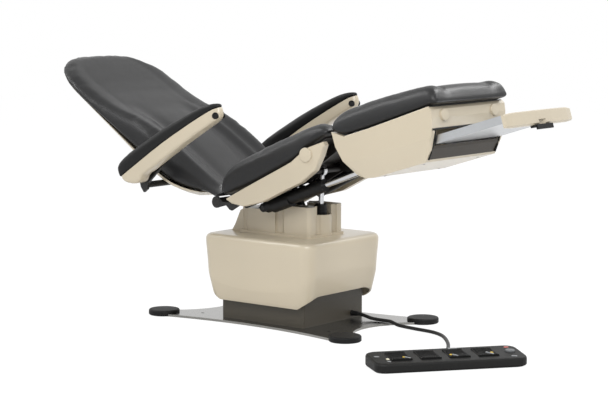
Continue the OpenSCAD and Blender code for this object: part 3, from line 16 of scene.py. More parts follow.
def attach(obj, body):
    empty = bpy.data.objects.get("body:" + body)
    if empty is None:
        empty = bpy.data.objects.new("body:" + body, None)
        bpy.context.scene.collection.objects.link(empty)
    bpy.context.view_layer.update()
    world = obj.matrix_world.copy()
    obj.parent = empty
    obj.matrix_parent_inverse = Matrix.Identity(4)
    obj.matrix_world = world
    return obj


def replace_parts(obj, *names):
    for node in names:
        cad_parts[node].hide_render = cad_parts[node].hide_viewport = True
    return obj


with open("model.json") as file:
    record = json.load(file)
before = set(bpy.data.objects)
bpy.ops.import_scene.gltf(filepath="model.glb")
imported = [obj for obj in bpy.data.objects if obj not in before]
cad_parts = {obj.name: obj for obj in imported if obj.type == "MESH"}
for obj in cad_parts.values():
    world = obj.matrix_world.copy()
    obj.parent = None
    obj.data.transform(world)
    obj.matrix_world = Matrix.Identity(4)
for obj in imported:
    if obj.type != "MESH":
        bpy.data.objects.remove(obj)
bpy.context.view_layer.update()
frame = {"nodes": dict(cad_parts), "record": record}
nodes = frame["nodes"]

# Camera: the photograph's place and lens

PHOTO_WIDTH = 608
SENSOR_WIDTH = 36.0
FOCAL_PIXELS = 2000.0
CAMERA_PLACE = (4.318, -5.276, 1.226)
CAMERA_TURN = 38.95
CAMERA_DIP = 7.1


def photo_camera():
    data = bpy.data.cameras.new("photo_camera")
    data.sensor_width = SENSOR_WIDTH
    data.lens = FOCAL_PIXELS / PHOTO_WIDTH * SENSOR_WIDTH
    data.clip_end = 60.0
    camera = linked("photo_camera", data)
    camera.location = CAMERA_PLACE
    camera.rotation_euler = (math.radians(90.0 - CAMERA_DIP), 0.0, math.radians(CAMERA_TURN))
    bpy.context.scene.camera = camera


# Places shared with the frame

TILT = Vector((-0.030, 0.0, 0.430))
KNEE = Vector((0.330, 0.0, 0.650))
BACK_HINGE = Vector((-0.160, 0.0, 0.412))
ARM_PLACE = Vector((-0.345, 0.365, 0.535))
BOARD_PLACE = Vector((0.887, -0.342, 0.0))
SEAT_TILT = math.radians(22.0)
LEG_RISE = math.radians(17.0)
BACK_RISE = math.radians(34.0)
ARM_RISE = math.radians(26.7)
BOARD_TURN = math.radians(53.0)


def placed(origin, pitch=0.0, turn=0.0):
    """A frame at a place, pitched up towards +X and turned about +Z."""
    return Matrix.Translation(origin) @ Matrix.Rotation(turn, 4, "Z") @ Matrix.Rotation(-pitch, 4, "Y")


SEAT = placed(TILT, SEAT_TILT)
LEG = placed(KNEE, LEG_RISE)
BACK = placed(BACK_HINGE, -BACK_RISE)
ARM_LEFT = placed(ARM_PLACE, ARM_RISE)
BOARD = placed(BOARD_PLACE, 0.0, BOARD_TURN)
MIRROR = Matrix.Scale(-1.0, 4, (0.0, 1.0, 0.0))


# Shader nodes


class Wire:
    """One output of a node; a sum on it adds Math nodes."""

    def __init__(self, tree, socket):
        self.tree = tree
        self.socket = socket

    def math(self, operation, first, second):
        return self.tree.node("ShaderNodeMath", {"operation": operation}, {0: first, 1: second})[0]

    def __add__(self, other):
        return self.math("ADD", self, other)

    def __radd__(self, other):
        return self.math("ADD", other, self)

    def __sub__(self, other):
        return self.math("SUBTRACT", self, other)

    def __rsub__(self, other):
        return self.math("SUBTRACT", other, self)

    def __mul__(self, other):
        return self.math("MULTIPLY", self, other)

    def __rmul__(self, other):
        return self.math("MULTIPLY", other, self)

    def __truediv__(self, other):
        return self.math("DIVIDE", self, other)

    def __rtruediv__(self, other):
        return self.math("DIVIDE", other, self)

    def __pow__(self, other):
        return self.math("POWER", self, other)

    def __rpow__(self, other):
        return self.math("POWER", other, self)

    def clamped(self):
        return self.math("MINIMUM", self.math("MAXIMUM", self, 0.0), 1.0)


class Outputs:
    """The outputs of one node, by number or by name."""

    def __init__(self, tree, node):
        self.tree = tree
        self.made = node

    def __getitem__(self, key):
        return Wire(self.tree, self.made.outputs[key])


class NodeTree:
    """A node tree, with one method that adds a node, its settings and the values or links of its sockets."""

    def __init__(self, tree):
        self.tree = tree
        tree.nodes.clear()

    def node(self, kind, settings=None, values=None):
        made = self.tree.nodes.new(kind)
        for key, value in (settings or {}).items():
            setattr(made, key, value)
        for key, value in (values or {}).items():
            self.put(made.inputs[key], value)
        return Outputs(self, made)

    def put(self, socket, value):
        if isinstance(value, Wire):
            self.tree.links.new(value.socket, socket)
        elif socket.type == "RGBA" and len(value) == 3:
            socket.default_value = (*value, 1.0)
        else:
            socket.default_value = value


class Paint(NodeTree):
    """A material built node by node, ending in one Principled shader."""

    def __init__(self, name):
        self.material = bpy.data.materials.new(name)
        self.material.use_nodes = True
        super().__init__(self.material.node_tree)
        self.shader = self.node("ShaderNodeBsdfPrincipled")
        self.end = self.node("ShaderNodeOutputMaterial", {}, {"Surface": self.shader[0]})

    def set(self, **values):
        for key, value in values.items():
            self.put(self.shader.made.inputs[key.replace("_", " ")], value)

    def place(self, stretch=(1.0, 1.0, 1.0)):
        """The piece's own coordinates, in metres, stretched for grain."""
        coordinates = self.node("ShaderNodeTexCoord")["Object"]
        return self.node("ShaderNodeMapping", {}, {"Vector": coordinates, "Scale": stretch})[0]

    def noise(self, scale, detail=4.0, roughness=0.5, stretch=(1.0, 1.0, 1.0)):
        return self.node("ShaderNodeTexNoise", {}, {
            "Vector": self.place(stretch), "Scale": scale, "Detail": detail, "Roughness": roughness})[0]

    def cells(self, scale, feature="DISTANCE_TO_EDGE"):
        return self.node("ShaderNodeTexVoronoi", {"feature": feature}, {
            "Vector": self.place(), "Scale": scale})[0]

    def mix(self, factor, first, second):
        return self.node("ShaderNodeMix", {"data_type": "RGBA"}, {0: factor, 6: first, 7: second})[2]

    def shades(self, factor, colour, dark, light):
        """A colour that drifts between a darker and a lighter shade of itself."""
        return self.mix(factor, [c * dark for c in colour], [min(1.0, c * light) for c in colour])

    def edges(self, radius, contrast=4.0):
        """1 on worn outer edges, 0 on open faces."""
        rounded = self.node("ShaderNodeBevel", {"samples": 4}, {"Radius": radius})[0]
        flat = self.node("ShaderNodeNewGeometry")["Normal"]
        dot = self.node("ShaderNodeVectorMath", {"operation": "DOT_PRODUCT"}, {0: rounded, 1: flat})["Value"]
        return (1.0 - dot) * contrast

    def bump(self, height, distance, strength):
        self.set(Normal=self.node("ShaderNodeBump", {}, {
            "Height": height, "Distance": distance, "Strength": strength})[0])


def srgb(red, green, blue):
    """A colour read as 0 to 255 on a screen, as the shader's linear numbers."""
    return tuple(
        (c / 12.92) if c <= 0.04045 else ((c + 0.055) / 1.055) ** 2.4
        for c in (red / 255.0, green / 255.0, blue / 255.0)
    )


# Finishes


def moulded_beige(name, colour, roughness=0.30):
    """Glossy moulded shell: faint mould flow, fine orange peel and slightly dull patches."""
    p = Paint(name)
    flow = p.noise(3.0, 3.0, 0.5)
    peel = p.noise(900.0, 2.0, 0.5)
    dull = p.noise(11.0, 4.0, 0.6)
    p.set(Base_Color=p.shades(flow, colour, 0.95, 1.04), Roughness=dull * 0.10 + (roughness - 0.05),
          Coat_Weight=0.35, Coat_Roughness=0.12)
    p.bump(peel, 0.00006, 0.5)
    return p.material


def artificial_leather(name, colour):
    """Charcoal artificial leather: pebbled grain with painted shade in its valleys, creases and a soft shine
    where it is stretched.
    """
    p = Paint(name)
    pebbles = p.cells(620.0)
    fine = p.cells(1500.0)
    crease = p.noise(26.0, 5.0, 0.62)
    worn = p.noise(4.5, 3.0, 0.5)
    # Painted shade: the grain's valleys are mixed towards a darker colour, as if in shade
    valley_shade = (1.0 - pebbles * 6.0).clamped() * 0.35
    p.set(Base_Color=p.mix(valley_shade, p.shades(worn, colour, 0.86, 1.18), [c * 0.55 for c in colour]),
          Roughness=crease * 0.12 + 0.33, Specular_IOR_Level=0.36, Coat_Weight=0.08, Coat_Roughness=0.22)
    p.bump((pebbles * 3.0).clamped() * 0.7 + (fine * 2.0).clamped() * 0.2 + crease * 0.6, 0.00030, 0.5)
    return p.material


def skinned_foam(name, colour):
    """Self-skinned foam of the arm pads: satin, with a faint pore pattern."""
    p = Paint(name)
    pores = p.cells(1200.0, "F1")
    cloud = p.noise(9.0, 3.0, 0.5)
    p.set(Base_Color=p.shades(cloud, colour, 0.9, 1.15), Roughness=cloud * 0.10 + 0.40,
          Specular_IOR_Level=0.26)
    p.bump(pores, 0.00012, 0.5)
    return p.material


def painted(name, colour, roughness, speckle=0.12, edge=(0.35, 0.34, 0.32)):
    """Powder coat: fine pebble and edges rubbed a little lighter."""
    p = Paint(name)
    grit = p.noise(1400.0, 2.0, 0.6)
    cloud = p.noise(7.0, 4.0, 0.55)
    rubbed = (p.edges(0.0012) * speckle).clamped()
    p.set(Base_Color=p.mix(rubbed, p.shades(cloud, colour, 0.85, 1.2), edge),
          Roughness=cloud * 0.14 + (roughness - 0.07))
    p.bump(grit, 0.00008, 0.6)
    return p.material


def moulded(name, colour, roughness=0.5, grain=0.00010):
    """Textured moulded plastic or rubber."""
    p = Paint(name)
    grit = p.noise(1100.0, 3.0, 0.6)
    cloud = p.noise(12.0, 3.0, 0.5)
    p.set(Base_Color=p.shades(cloud, colour, 0.85, 1.2), Roughness=cloud * 0.12 + (roughness - 0.06),
          Specular_IOR_Level=0.28)
    p.bump(grit, grain, 0.7)
    return p.material


def metal(name, colour, roughness, brush, depth=0.00003, streak=240.0):
    """Metal with brushed or turned streaks along one way and a faint bloom."""
    p = Paint(name)
    streaks = p.noise(streak, 3.0, 0.6, brush)
    bloom = p.noise(5.0, 4.0, 0.55)
    p.set(Base_Color=p.shades(bloom, colour, 0.9, 1.06), Metallic=1.0,
          Roughness=streaks * 0.12 + bloom * 0.06 + (roughness - 0.09))
    p.bump(streaks, depth, 0.6)
    return p.material


BEIGE = srgb(202, 190, 167)
FINISHES = {
    "beige_cover": (moulded_beige, BEIGE),
    "cap_beige": (moulded_beige, BEIGE, 0.32),
    "upholstery": (artificial_leather, srgb(22, 22, 23)),
    "thread": (moulded, srgb(26, 26, 27), 0.6, 0.00004),
    "gasket": (moulded, srgb(18, 18, 18), 0.55, 0.00006),
    "arm_pad": (skinned_foam, srgb(14, 14, 14)),
    "frame_black": (painted, srgb(22, 19, 16), 0.5),
    "bracket_black": (painted, srgb(10, 10, 10), 0.42, 0.1),
    "skirt_dark": (painted, srgb(64, 59, 49), 0.42),
    # The motor's grey and black are darkened towards black: painted shade under the seat cover
    "motor_grey": (painted, srgb(26, 26, 26), 0.5),
    "motor_black": (moulded, srgb(9, 9, 9), 0.5),
    "rubber": (moulded, srgb(8, 8, 8), 0.60, 0.00016),
    "cord_black": (moulded, srgb(30, 30, 30), 0.48, 0.00005),
    "board_plastic": (moulded, srgb(12, 12, 11), 0.55, 0.00020),
    "pedal_rubber": (moulded, srgb(8, 8, 8), 0.60, 0.00018),
    "button_grey": (moulded, srgb(108, 110, 112), 0.45),
    "plug_black": (moulded, srgb(5, 5, 5), 0.5),
    "panel_brown": (moulded, srgb(50, 43, 33), 0.30),
    "polished_steel": (metal, srgb(150, 149, 146), 0.24, (1.0, 12.0, 1.0)),
    "steel": (metal, srgb(176, 177, 178), 0.34, (10.0, 10.0, 0.6)),
    "chrome": (metal, srgb(205, 206, 208), 0.16, (10.0, 10.0, 1.0)),
    "mark_cream": (moulded, srgb(226, 220, 196), 0.40, 0.00003),
    "mark_yellow": (moulded, srgb(214, 178, 44), 0.40, 0.00003),
    "mark_pink": (moulded, srgb(205, 120, 112), 0.40, 0.00003),
    "mark_grey": (moulded, srgb(150, 152, 154), 0.38, 0.00003),
    "shadow_black": (moulded, srgb(9, 9, 9), 0.85, 0.00008),
    "stainless": (metal, srgb(196, 198, 200), 0.30, (0.8, 14.0, 1.0)),
}
FINISH = {name: maker(name, *values) for name, (maker, *values) in FINISHES.items()}


def dress_frame():
    """Every node of the frame gets the finish of its slot in the record."""
    for part in frame["record"]["subparts"]:
        piece = nodes.get(part["node"])
        if piece is None:
            continue
        piece.data.materials.clear()
        piece.data.materials.append(FINISH[part["material_slot"]])
        smooth_by_angle(piece, 32.0)


def smooth_by_angle(piece, degrees):
    """Smooth shading that keeps the sharp edges sharp."""
    mesh = piece.data
    mesh.set_sharp_from_angle(angle=math.radians(degrees))
    mesh.polygons.foreach_set("use_smooth", [True] * len(mesh.polygons))
    mesh.update()


# Making pieces


def linked(name, data):
    """An object for a mesh, lamp or camera, in the scene's own collection."""
    made = bpy.data.objects.new(name, data)
    bpy.context.collection.objects.link(made)
    return made


def bare_mesh(name, verts, edges=(), faces=()):
    mesh = bpy.data.meshes.new(name)
    mesh.from_pydata([tuple(v) for v in verts], list(edges), [tuple(f) for f in faces])
    return mesh


def new_piece(name, verts, faces, finish, place=None):
    """A mesh piece from points and faces, at the origin with its place in its mesh."""
    mesh = bare_mesh(name, verts, (), faces)
    if place is not None:
        mesh.transform(place)
        if place.determinant() < 0.0:
            mesh.flip_normals()
    mesh.materials.append(FINISH[finish])
    return linked(name, mesh)


def settle(piece):
    """Applies a piece's modifiers, so that only its mesh is left."""
    graph = bpy.context.evaluated_depsgraph_get()
    mesh = bpy.data.meshes.new_from_object(piece.evaluated_get(graph), depsgraph=graph)
    old = piece.data
    piece.modifiers.clear()
    piece.data = mesh
    bpy.data.meshes.remove(old)
    return piece


def wrapped(count, sides, closed=False):
    """The faces between rings of equally many points; a closed run joins its last ring to its first."""
    return [(i * sides + j, i * sides + (j + 1) % sides,
             (i + 1) % count * sides + (j + 1) % sides, (i + 1) % count * sides + j)
            for i in range(count if closed else count - 1) for j in range(sides)]


def circle(radius, sides):
    return [(radius * math.cos(2 * math.pi * j / sides), radius * math.sin(2 * math.pi * j / sides))
            for j in range(sides)]


def tube(path, radius, sides=10):
    """Points and faces of a closed tube along a path of points."""
    path = [Vector(p) for p in path]
    verts = []
    up = Vector((0.0, 0.0, 1.0))
    for i, p in enumerate(path):
        ahead = (path[min(i + 1, len(path) - 1)] - path[max(i - 1, 0)]).normalized()
        side = ahead.cross(up if abs(ahead.dot(up)) < 0.95 else Vector((1.0, 0.0, 0.0))).normalized()
        over = side.cross(ahead)
        for j in range(sides):
            a = 2.0 * math.pi * (j + 0.5) / sides
            verts.append(p + radius * (math.cos(a) * side + math.sin(a) * over))
    faces = [tuple(reversed(face)) for face in wrapped(len(path), sides)]
    last = len(verts) - sides
    start, end = len(verts), len(verts) + 1
    verts += [path[0], path[-1]]
    for j in range(sides):
        k = (j + 1) % sides
        faces += [(start, j, k), (end, last + k, last + j)]
    return verts, faces


def smooth_path(points, steps):
    """Points on a smooth curve through the given ones."""
    points = [Vector(p) for p in points]
    result = []
    for i in range(len(points) - 1):
        a, b = points[max(i - 1, 0)], points[i]
        c, d = points[i + 1], points[min(i + 2, len(points) - 1)]
        for k in range(steps):
            t = k / steps
            result.append(0.5 * (2 * b + (c - a) * t + (2 * a - 5 * b + 4 * c - d) * t * t
                                 + (3 * b - a - 3 * c + d) * t ** 3))
    return result + [points[-1]]


# Repeats: Geometry Nodes


class Repeat(NodeTree):
    """A Geometry Nodes tree whose named inputs are the sizes of what repeats."""

    def __init__(self, name, sizes):
        super().__init__(bpy.data.node_groups.new(name, "GeometryNodeTree"))
        face = self.tree.interface
        face.new_socket("Geometry", in_out="INPUT", socket_type="NodeSocketGeometry")
        self.sizes = {}
        for label, value in sizes.items():
            socket = face.new_socket(label, in_out="INPUT", socket_type="NodeSocketFloat")
            socket.default_value = value
            self.sizes[socket.identifier] = value
        face.new_socket("Geometry", in_out="OUTPUT", socket_type="NodeSocketGeometry")
        self.inlet = self.node("NodeGroupInput")

    def __getitem__(self, label):
        return self.inlet[label]

    def grow(self, mesh, geometry, finish):
        """Ends the tree, runs it on a guide mesh and leaves a plain piece under the guide's name."""
        real = self.node("GeometryNodeRealizeInstances", {}, {"Geometry": geometry})[0]
        dressed = self.node("GeometryNodeSetMaterial", {}, {"Geometry": real, "Material": FINISH[finish]})[0]
        self.node("NodeGroupOutput", {}, {0: dressed})
        piece = linked(mesh.name, mesh)
        modifier = piece.modifiers.new("repeat", "NODES")
        modifier.node_group = self.tree
        for identifier, value in self.sizes.items():
            modifier[identifier] = value
        return settle(piece)


def finished(piece, body, angle=35.0):
    smooth_by_angle(piece, angle)
    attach(piece, body)
    return piece


STITCH_PITCH, STITCH_LENGTH, THREAD_RADIUS = 0.007, 0.0045, 0.0011


def stitches(name, points, body):
    """Thread laid along a sewn line, one short stitch after another."""
    tree = Repeat("stitch_row", {
        "Pitch": STITCH_PITCH, "Stitch length": STITCH_LENGTH, "Thread": THREAD_RADIUS})
    line = tree.node("GeometryNodeMeshToCurve", {}, {"Mesh": tree["Geometry"]})[0]
    even = tree.node("GeometryNodeResampleCurve", {"mode": "LENGTH"}, {
        "Curve": line, "Length": tree["Pitch"]})[0]
    along = tree.node("GeometryNodeInputTangent")[0]
    turn = tree.node("FunctionNodeAlignRotationToVector", {"axis": "Z"}, {"Vector": along})[0]
    stitch = tree.node("GeometryNodeMeshCylinder", {}, {
        "Vertices": 6, "Radius": tree["Thread"], "Depth": tree["Stitch length"]})["Mesh"]
    row = tree.node("GeometryNodeInstanceOnPoints", {}, {
        "Points": even, "Instance": stitch, "Rotation": turn})[0]
    edges = [(i, i + 1) for i in range(len(points) - 1)]
    return finished(tree.grow(bare_mesh(name, points, edges), row, "thread"), body, 60.0)


# Control cord

CORD_DIAMETER = 0.012
GLAND_END = (0.2065, 0.101, 0.025)
CORD_AT_BOARD = 0.041
CORD_END_HEIGHT = 0.020
BOARD_WIDTH = 0.152
# How far the cord's last points stand off the board's back, and into its socket
CORD_REACHES = (0.022, 0.004, -0.017)
CORD_FLOOR_ROUTE = [
    (0.222, 0.101, 0.0245), (0.244, 0.099, 0.0215), (0.268, 0.098, 0.017), (0.292, 0.100, 0.0148),
    (0.318, 0.101, 0.0144), (0.339, 0.100, 0.0146), (0.352, 0.099, 0.014), (0.370, 0.096, 0.010),
    (0.388, 0.092, 0.007), (0.410, 0.088, 0.0062), (0.444, 0.081, 0.0062), (0.480, 0.075, 0.0062),
    (0.516, 0.071, 0.0062), (0.550, 0.064, 0.0062), (0.584, 0.049, 0.0062), (0.616, 0.027, 0.0062),
    (0.648, -0.004, 0.0062), (0.680, -0.040, 0.0062), (0.706, -0.072, 0.0062), (0.730, -0.105, 0.0064),
    (0.752, -0.138, 0.0074), (0.774, -0.171, 0.010), (0.796, -0.200, 0.014), (0.818, -0.226, 0.018),
]


def control_cord():
    """The foot control's cord, from its gland on the skirt to the back of the board."""
    ends = [BOARD @ Vector((CORD_AT_BOARD, BOARD_WIDTH / 2.0 + reach, CORD_END_HEIGHT))
            for reach in CORD_REACHES]
    path = smooth_path([GLAND_END] + CORD_FLOOR_ROUTE + ends, 4)
    verts, faces = tube(path, CORD_DIAMETER / 2.0, 14)
    piece = finished(new_piece("control_cord", verts, faces, "cord_black"), "base", 60.0)
    length = sum((b - a).length for a, b in zip(path, path[1:]))
    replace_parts(piece, "pedal_cord")


# Upholstery

SEAT_REAR, SEAT_LENGTH = -0.080, 0.498
SEAT_WIDE, SEAT_NARROW = 0.480, 0.430
BACK_LENGTH, BACK_WIDTH = 0.912, 0.500
HEAD_START, HEAD_POWER = 0.77, 2.4
LEG_HALF = 0.212


def seat_half(x):
    """Half the seat cushion's width at a distance along it."""
    share = (x - SEAT_REAR) / SEAT_LENGTH
    return (SEAT_WIDE * (1.0 - share) + SEAT_NARROW * share) / 2.0


def back_half(x):
    """Half the back cushion's width at a distance from the hinge; the head end is rounded."""
    s = -x
    share = np.clip((s - HEAD_START * BACK_LENGTH) / (BACK_LENGTH * (1.0 - HEAD_START)), 0.0, 1.0)
    low = np.clip(1.0 - s / (0.2 * BACK_LENGTH), 0.0, 1.0)
    rounded = np.maximum(1e-4, 1.0 - share ** HEAD_POWER) ** (1.0 / HEAD_POWER)
    return BACK_WIDTH / 2.0 * rounded - (BACK_WIDTH - SEAT_WIDE) / 2.0 * low


def per_vertex(mesh, attribute):
    """The places or the normals of a mesh's vertices, one row each."""
    values = np.empty(len(mesh.vertices) * 3)
    mesh.vertices.foreach_get(attribute, values)
    return values.reshape(-1, 3)


def move_vertices(mesh, points):
    mesh.vertices.foreach_set("co", points.ravel())
    mesh.update()


def smoothed(piece, iterations):
    calm = piece.modifiers.new("calm", "SMOOTH")
    calm.factor = 0.5
    calm.iterations = iterations


CLOTH_STEPS = 16
CLOTH_MASS, CLOTH_STRETCH, CLOTH_BEND = 0.3, 22.0, 0.8


def swollen(piece, pressure, cap, place):
    """Blows a padded solid up a little under its skin, no point further than the cap; its underside stays."""
    start = per_vertex(piece.data, "co")
    up = per_vertex(piece.data, "normal") @ np.array(place.to_3x3().col[2])
    cloth = piece.modifiers.new("skin", "CLOTH")
    cloth.settings.use_pressure = True
    cloth.settings.uniform_pressure_force = pressure
    cloth.settings.quality = 4
    cloth.settings.mass = CLOTH_MASS
    cloth.settings.tension_stiffness = CLOTH_STRETCH
    cloth.settings.compression_stiffness = CLOTH_STRETCH
    cloth.settings.bending_stiffness = CLOTH_BEND
    cloth.settings.effector_weights.gravity = 0.0
    cloth.collision_settings.use_collision = False
    for step in range(1, CLOTH_STEPS + 1):
        bpy.context.scene.frame_set(step)
    settle(piece)
    shift = per_vertex(piece.data, "co") - start
    far = np.linalg.norm(shift, axis=1, keepdims=True)
    shift *= np.minimum(1.0, cap / np.maximum(far, 1e-9))
    shift *= np.clip((up + 0.25) * 2.5, 0.0, 1.0)[:, None]
    move_vertices(piece.data, start + shift)
    bpy.context.scene.frame_set(1)


VOXEL = 0.0075
# Rounds of smoothing after the swelling, for a coarse skin and for a fine one
COARSE_ROUNDS, FINE_ROUNDS, FINE_VOXEL = 9, 5, 0.005


def upholstered(name, node, body, place, cap, seam=None, shape=None, press=4.0, finish="upholstery",
                voxel=VOXEL, form=None):
    """A cushion over a frame node, or over its own form: swollen, pressed along its seam and shaped."""
    piece = form
    if piece is None:
        piece = linked(name, nodes[node].data.copy())
        piece.data.transform(nodes[node].matrix_world)
    piece.name = name
    outward(piece.data)
    remesh = piece.modifiers.new("even", "REMESH")
    remesh.mode = "VOXEL"
    remesh.voxel_size = voxel
    smoothed(piece, 3)
    settle(piece)
    swollen(piece, press, cap, place)
    smoothed(piece, COARSE_ROUNDS if voxel > FINE_VOXEL else FINE_ROUNDS)
    settle(piece)
    mesh = piece.data
    mesh.transform(place.inverted())
    points = per_vertex(mesh, "co")
    if seam is not None:
        normals = per_vertex(mesh, "normal")
        points -= normals * seam(points, normals)[:, None]
    if shape is not None:
        shape(points)
    move_vertices(mesh, points)
    mesh.transform(place)
    fine = piece.modifiers.new("fine", "SUBSURF")
    fine.levels = 1
    fine.render_levels = 1
    settle(piece)
    piece.data.materials.clear()
    piece.data.materials.append(FINISH[finish])
    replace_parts(finished(piece, body, 80.0), node)
    return piece


SEAM_WIDTH, SEAM_DEPTH, SEAM_FADE = 0.005, 0.004, 0.05


def faded(places, low, high, low_run, high_run):
    """1 between two places, and falling to 0 at them over a run at each end."""
    return np.clip((places - low) / low_run, 0.0, 1.0) * np.clip((high - places) / high_run, 0.0, 1.0)


def seam_along(half_at, share, low, high):
    """A sewn groove along both sides of the upper face, at a share of the half width, between two places."""
    def press(points, normals):
        gap = np.abs(points[:, 1]) - share * half_at(points[:, 0])
        upper = np.clip((normals[:, 2] - 0.1) * 4.0, 0.0, 1.0)
        return SEAM_DEPTH * np.exp(-(gap / SEAM_WIDTH) ** 2) * upper * faded(
            points[:, 0], low, high, SEAM_FADE, SEAM_FADE)
    return press


ABOVE = 0.4
THREAD_LIFT = 0.0006


def surface_line(piece, place, spots):
    """Points on the upper face of a piece below the given spots of its own plan."""
    tree = BVHTree.FromPolygons([place.inverted() @ v.co for v in piece.data.vertices],
                                [f.vertices for f in piece.data.polygons])
    line = []
    for x, y in spots:
        hit = tree.ray_cast(Vector((x, y, ABOVE)), Vector((0.0, 0.0, -1.0)))[0]
        if hit is not None:
            line.append(place @ (hit + Vector((0.0, 0.0, THREAD_LIFT))))
    return line


SEAM_SHARE = 0.64
THREAD_OFF = 0.006
THREAD_SPOTS = 60


def sewn_both_sides(name, piece, body, place, half_at, low, high):
    """Thread on both sides of a seam's groove, along both sides of a cushion."""
    places = np.linspace(low, high, THREAD_SPOTS + 1)
    for label, sign in (("left", 1.0), ("right", -1.0)):
        for side, off in (("outer", THREAD_OFF), ("inner", -THREAD_OFF)):
            spots = [(float(x), sign * (SEAM_SHARE * float(half_at(x)) + off)) for x in places]
            stitches(f"{name}_{label}_{side}", surface_line(piece, place, spots), body)


LEG_REACH, LEG_SPREAD = 0.44, LEG_HALF * 1.06
LEG_SWELL, LEG_END_SWELL = 0.003, 0.013
CROWN_BASE, CROWN_RISE = 0.030, 0.045


def leg_crown(points):
    """The leg cushion swells towards its foot end, most of all along its middle."""
    share = np.clip(points[:, 0] / LEG_REACH, 0.0, 1.0)
    across = np.clip(1.0 - (np.abs(points[:, 1]) / LEG_SPREAD) ** 3.6, 0.0, 1.0)
    upper = np.clip((points[:, 2] - CROWN_BASE) / CROWN_RISE, 0.0, 1.0)
    points[:, 2] += (LEG_SWELL + LEG_END_SWELL * share ** 1.4) * across * upper * upper * (3.0 - 2.0 * upper)


HEAD_FROM_SHARE, HEAD_RUN_SHARE, HEAD_WIDER_SHARE = 0.30, 0.45, 0.048
HEAD_LONGER, HEAD_HIGHER, HEAD_SIDE = 0.006, 0.009, 0.05


def full_head(points):
    """The head end of the back is wider and plumper than its lumbar end."""
    share = np.clip((-points[:, 0] / BACK_LENGTH - HEAD_FROM_SHARE) / HEAD_RUN_SHARE, 0.0, 1.0)
    share = share * share * (3.0 - 2.0 * share)
    upper = np.clip(points[:, 2] / HEAD_SIDE, 0.0, 1.0)
    points[:, 1] *= 1.0 + HEAD_WIDER_SHARE * share
    points[:, 0] -= HEAD_LONGER * share
    points[:, 2] += HEAD_HIGHER * share * upper


CREST_LOW, CREST_HIGH = -0.56, 0.0
CREST_LOW_FADE, CREST_HIGH_FADE = 0.14, 0.08
CREST_SHARE, CREST_WIDTH, CREST_HEIGHT = 0.60, 0.020, 0.010


def bolster_crest(points, normals):
    """A soft ridge along both sides of the back's upper face, with a shallow hollow inside it."""
    gap = np.abs(points[:, 1]) - CREST_SHARE * back_half(points[:, 0])
    upper = np.clip((normals[:, 2] - 0.1) * 3.0, 0.0, 1.0)
    ends = faded(points[:, 0], CREST_LOW, CREST_HIGH, CREST_LOW_FADE, CREST_HIGH_FADE)
    ridge = np.exp(-(gap / CREST_WIDTH) ** 2)
    hollow = 0.62 * np.exp(-((gap + 2.2 * CREST_WIDTH) / (1.6 * CREST_WIDTH)) ** 2)
    return -CREST_HEIGHT * (ridge - hollow) * upper * ends


def make_upholstery():
    seat = upholstered("seat_upholstery", "seat_cushion", "seat", SEAT, 0.006,
                       seam=seam_along(seat_half, SEAM_SHARE, -0.05, 0.40))
    upholstered("back_upholstery", "back_cushion", "back", BACK, 0.007, seam=bolster_crest, shape=full_head)
    upholstered("leg_upholstery", "leg_cushion", "leg", LEG, 0.006, shape=leg_crown)
    sewn_both_sides("seat_stitches", seat, "seat", SEAT, seat_half, -0.03, 0.39)


# Lofts, turned pieces and bores


def loft(name, rings, finish, place=None, strip=False):
    """A closed piece through rings of equally many points; a strip closes ends that are narrow walls."""
    n = len(rings[0])
    verts = [Vector(p) for ring in rings for p in ring]
    faces = wrapped(len(rings), n)
    for base in (0, len(verts) - n):
        if strip:
            faces += [(base + j, base + j + 1, base + n - 2 - j, base + n - 1 - j) for j in range(n // 2 - 1)]
        else:
            centre = len(verts)
            verts.append(sum((verts[base + j] for j in range(n)), Vector()) / n)
            faces += [(base + j, base + (j + 1) % n, centre) for j in range(n)]
    piece = new_piece(name, verts, faces, finish, place)
    outward(piece.data)
    return piece


def outward(mesh):
    form = bmesh.new()
    form.from_mesh(mesh)
    bmesh.ops.remove_doubles(form, verts=form.verts, dist=1e-6)
    bmesh.ops.recalc_face_normals(form, faces=form.faces)
    form.to_mesh(mesh)
    form.free()


def turned(name, profile, finish, place, sides=40):
    """A piece turned about the Z axis of its place, from a profile of radii and heights."""
    rings = [[(x, y, z) for x, y in circle(r, sides)] for r, z in profile]
    return loft(name, rings, finish, place)


def bored(piece, ends, radius):
    """Takes a round hole out of a piece, from one end to the other."""
    start, end = ends
    along = (end - start).to_track_quat("Z", "Y").to_matrix().to_4x4()
    length = (end - start).length
    cutter = turned("cutter", [(radius, 0.0), (radius, length)], "gasket", Matrix.Translation(start) @ along)
    hole = piece.modifiers.new("hole", "BOOLEAN")
    hole.operation = "DIFFERENCE"
    hole.solver = "EXACT"
    hole.object = cutter
    settle(piece)
    bpy.data.meshes.remove(cutter.data)


MM = 0.001


def in_millimetres(points):
    return [(x * MM, y * MM, z * MM) for x, y, z in points]


def between(table, column, x):
    """A column of a table, at a place between its rows."""
    return float(np.interp(x, [row[0] for row in table], [row[column] for row in table]))


# Armrests: tables in millimetres, along the arm and up from its pin

ARM_HALF = 26.0
ARM_PIN = (0.0, -16.0)
ARM_PIN_BORE = 8.05
ARM_PLUG = (384.0, 18.0)
ARM_SEAM = ((-110, 4), (-98, 5), (-70, 8), (-46, 11), (22, 19), (90, 27), (158, 33), (260, 38), (340, 40),
            (382, 41), (412, 38))
# Place along the arm, underside, share of the width
ARM_CASE = (
    (-98, 2, 0.80), (-96, -8, 0.90), (-91, -17, 0.97), (-80, -26, 1), (-65, -35, 1), (-50, -41, 1),
    (-37, -43, 1), (-25, -40, 1), (-15, -32, 1), (-5, -27.5, 1), (12, -26.5, 1), (30, -25, 1), (62, -22, 1),
    (130, -15, 1), (199, -8, 1), (276, -2, 1), (325, 1, 1), (350, 2.4, 0.95), (370, 4, 0.85), (383, 6, 0.73),
    (392, 10, 0.59), (397.5, 15, 0.45), (401, 22, 0.34), (403, 29, 0.26), (403.5, 34, 0.20))
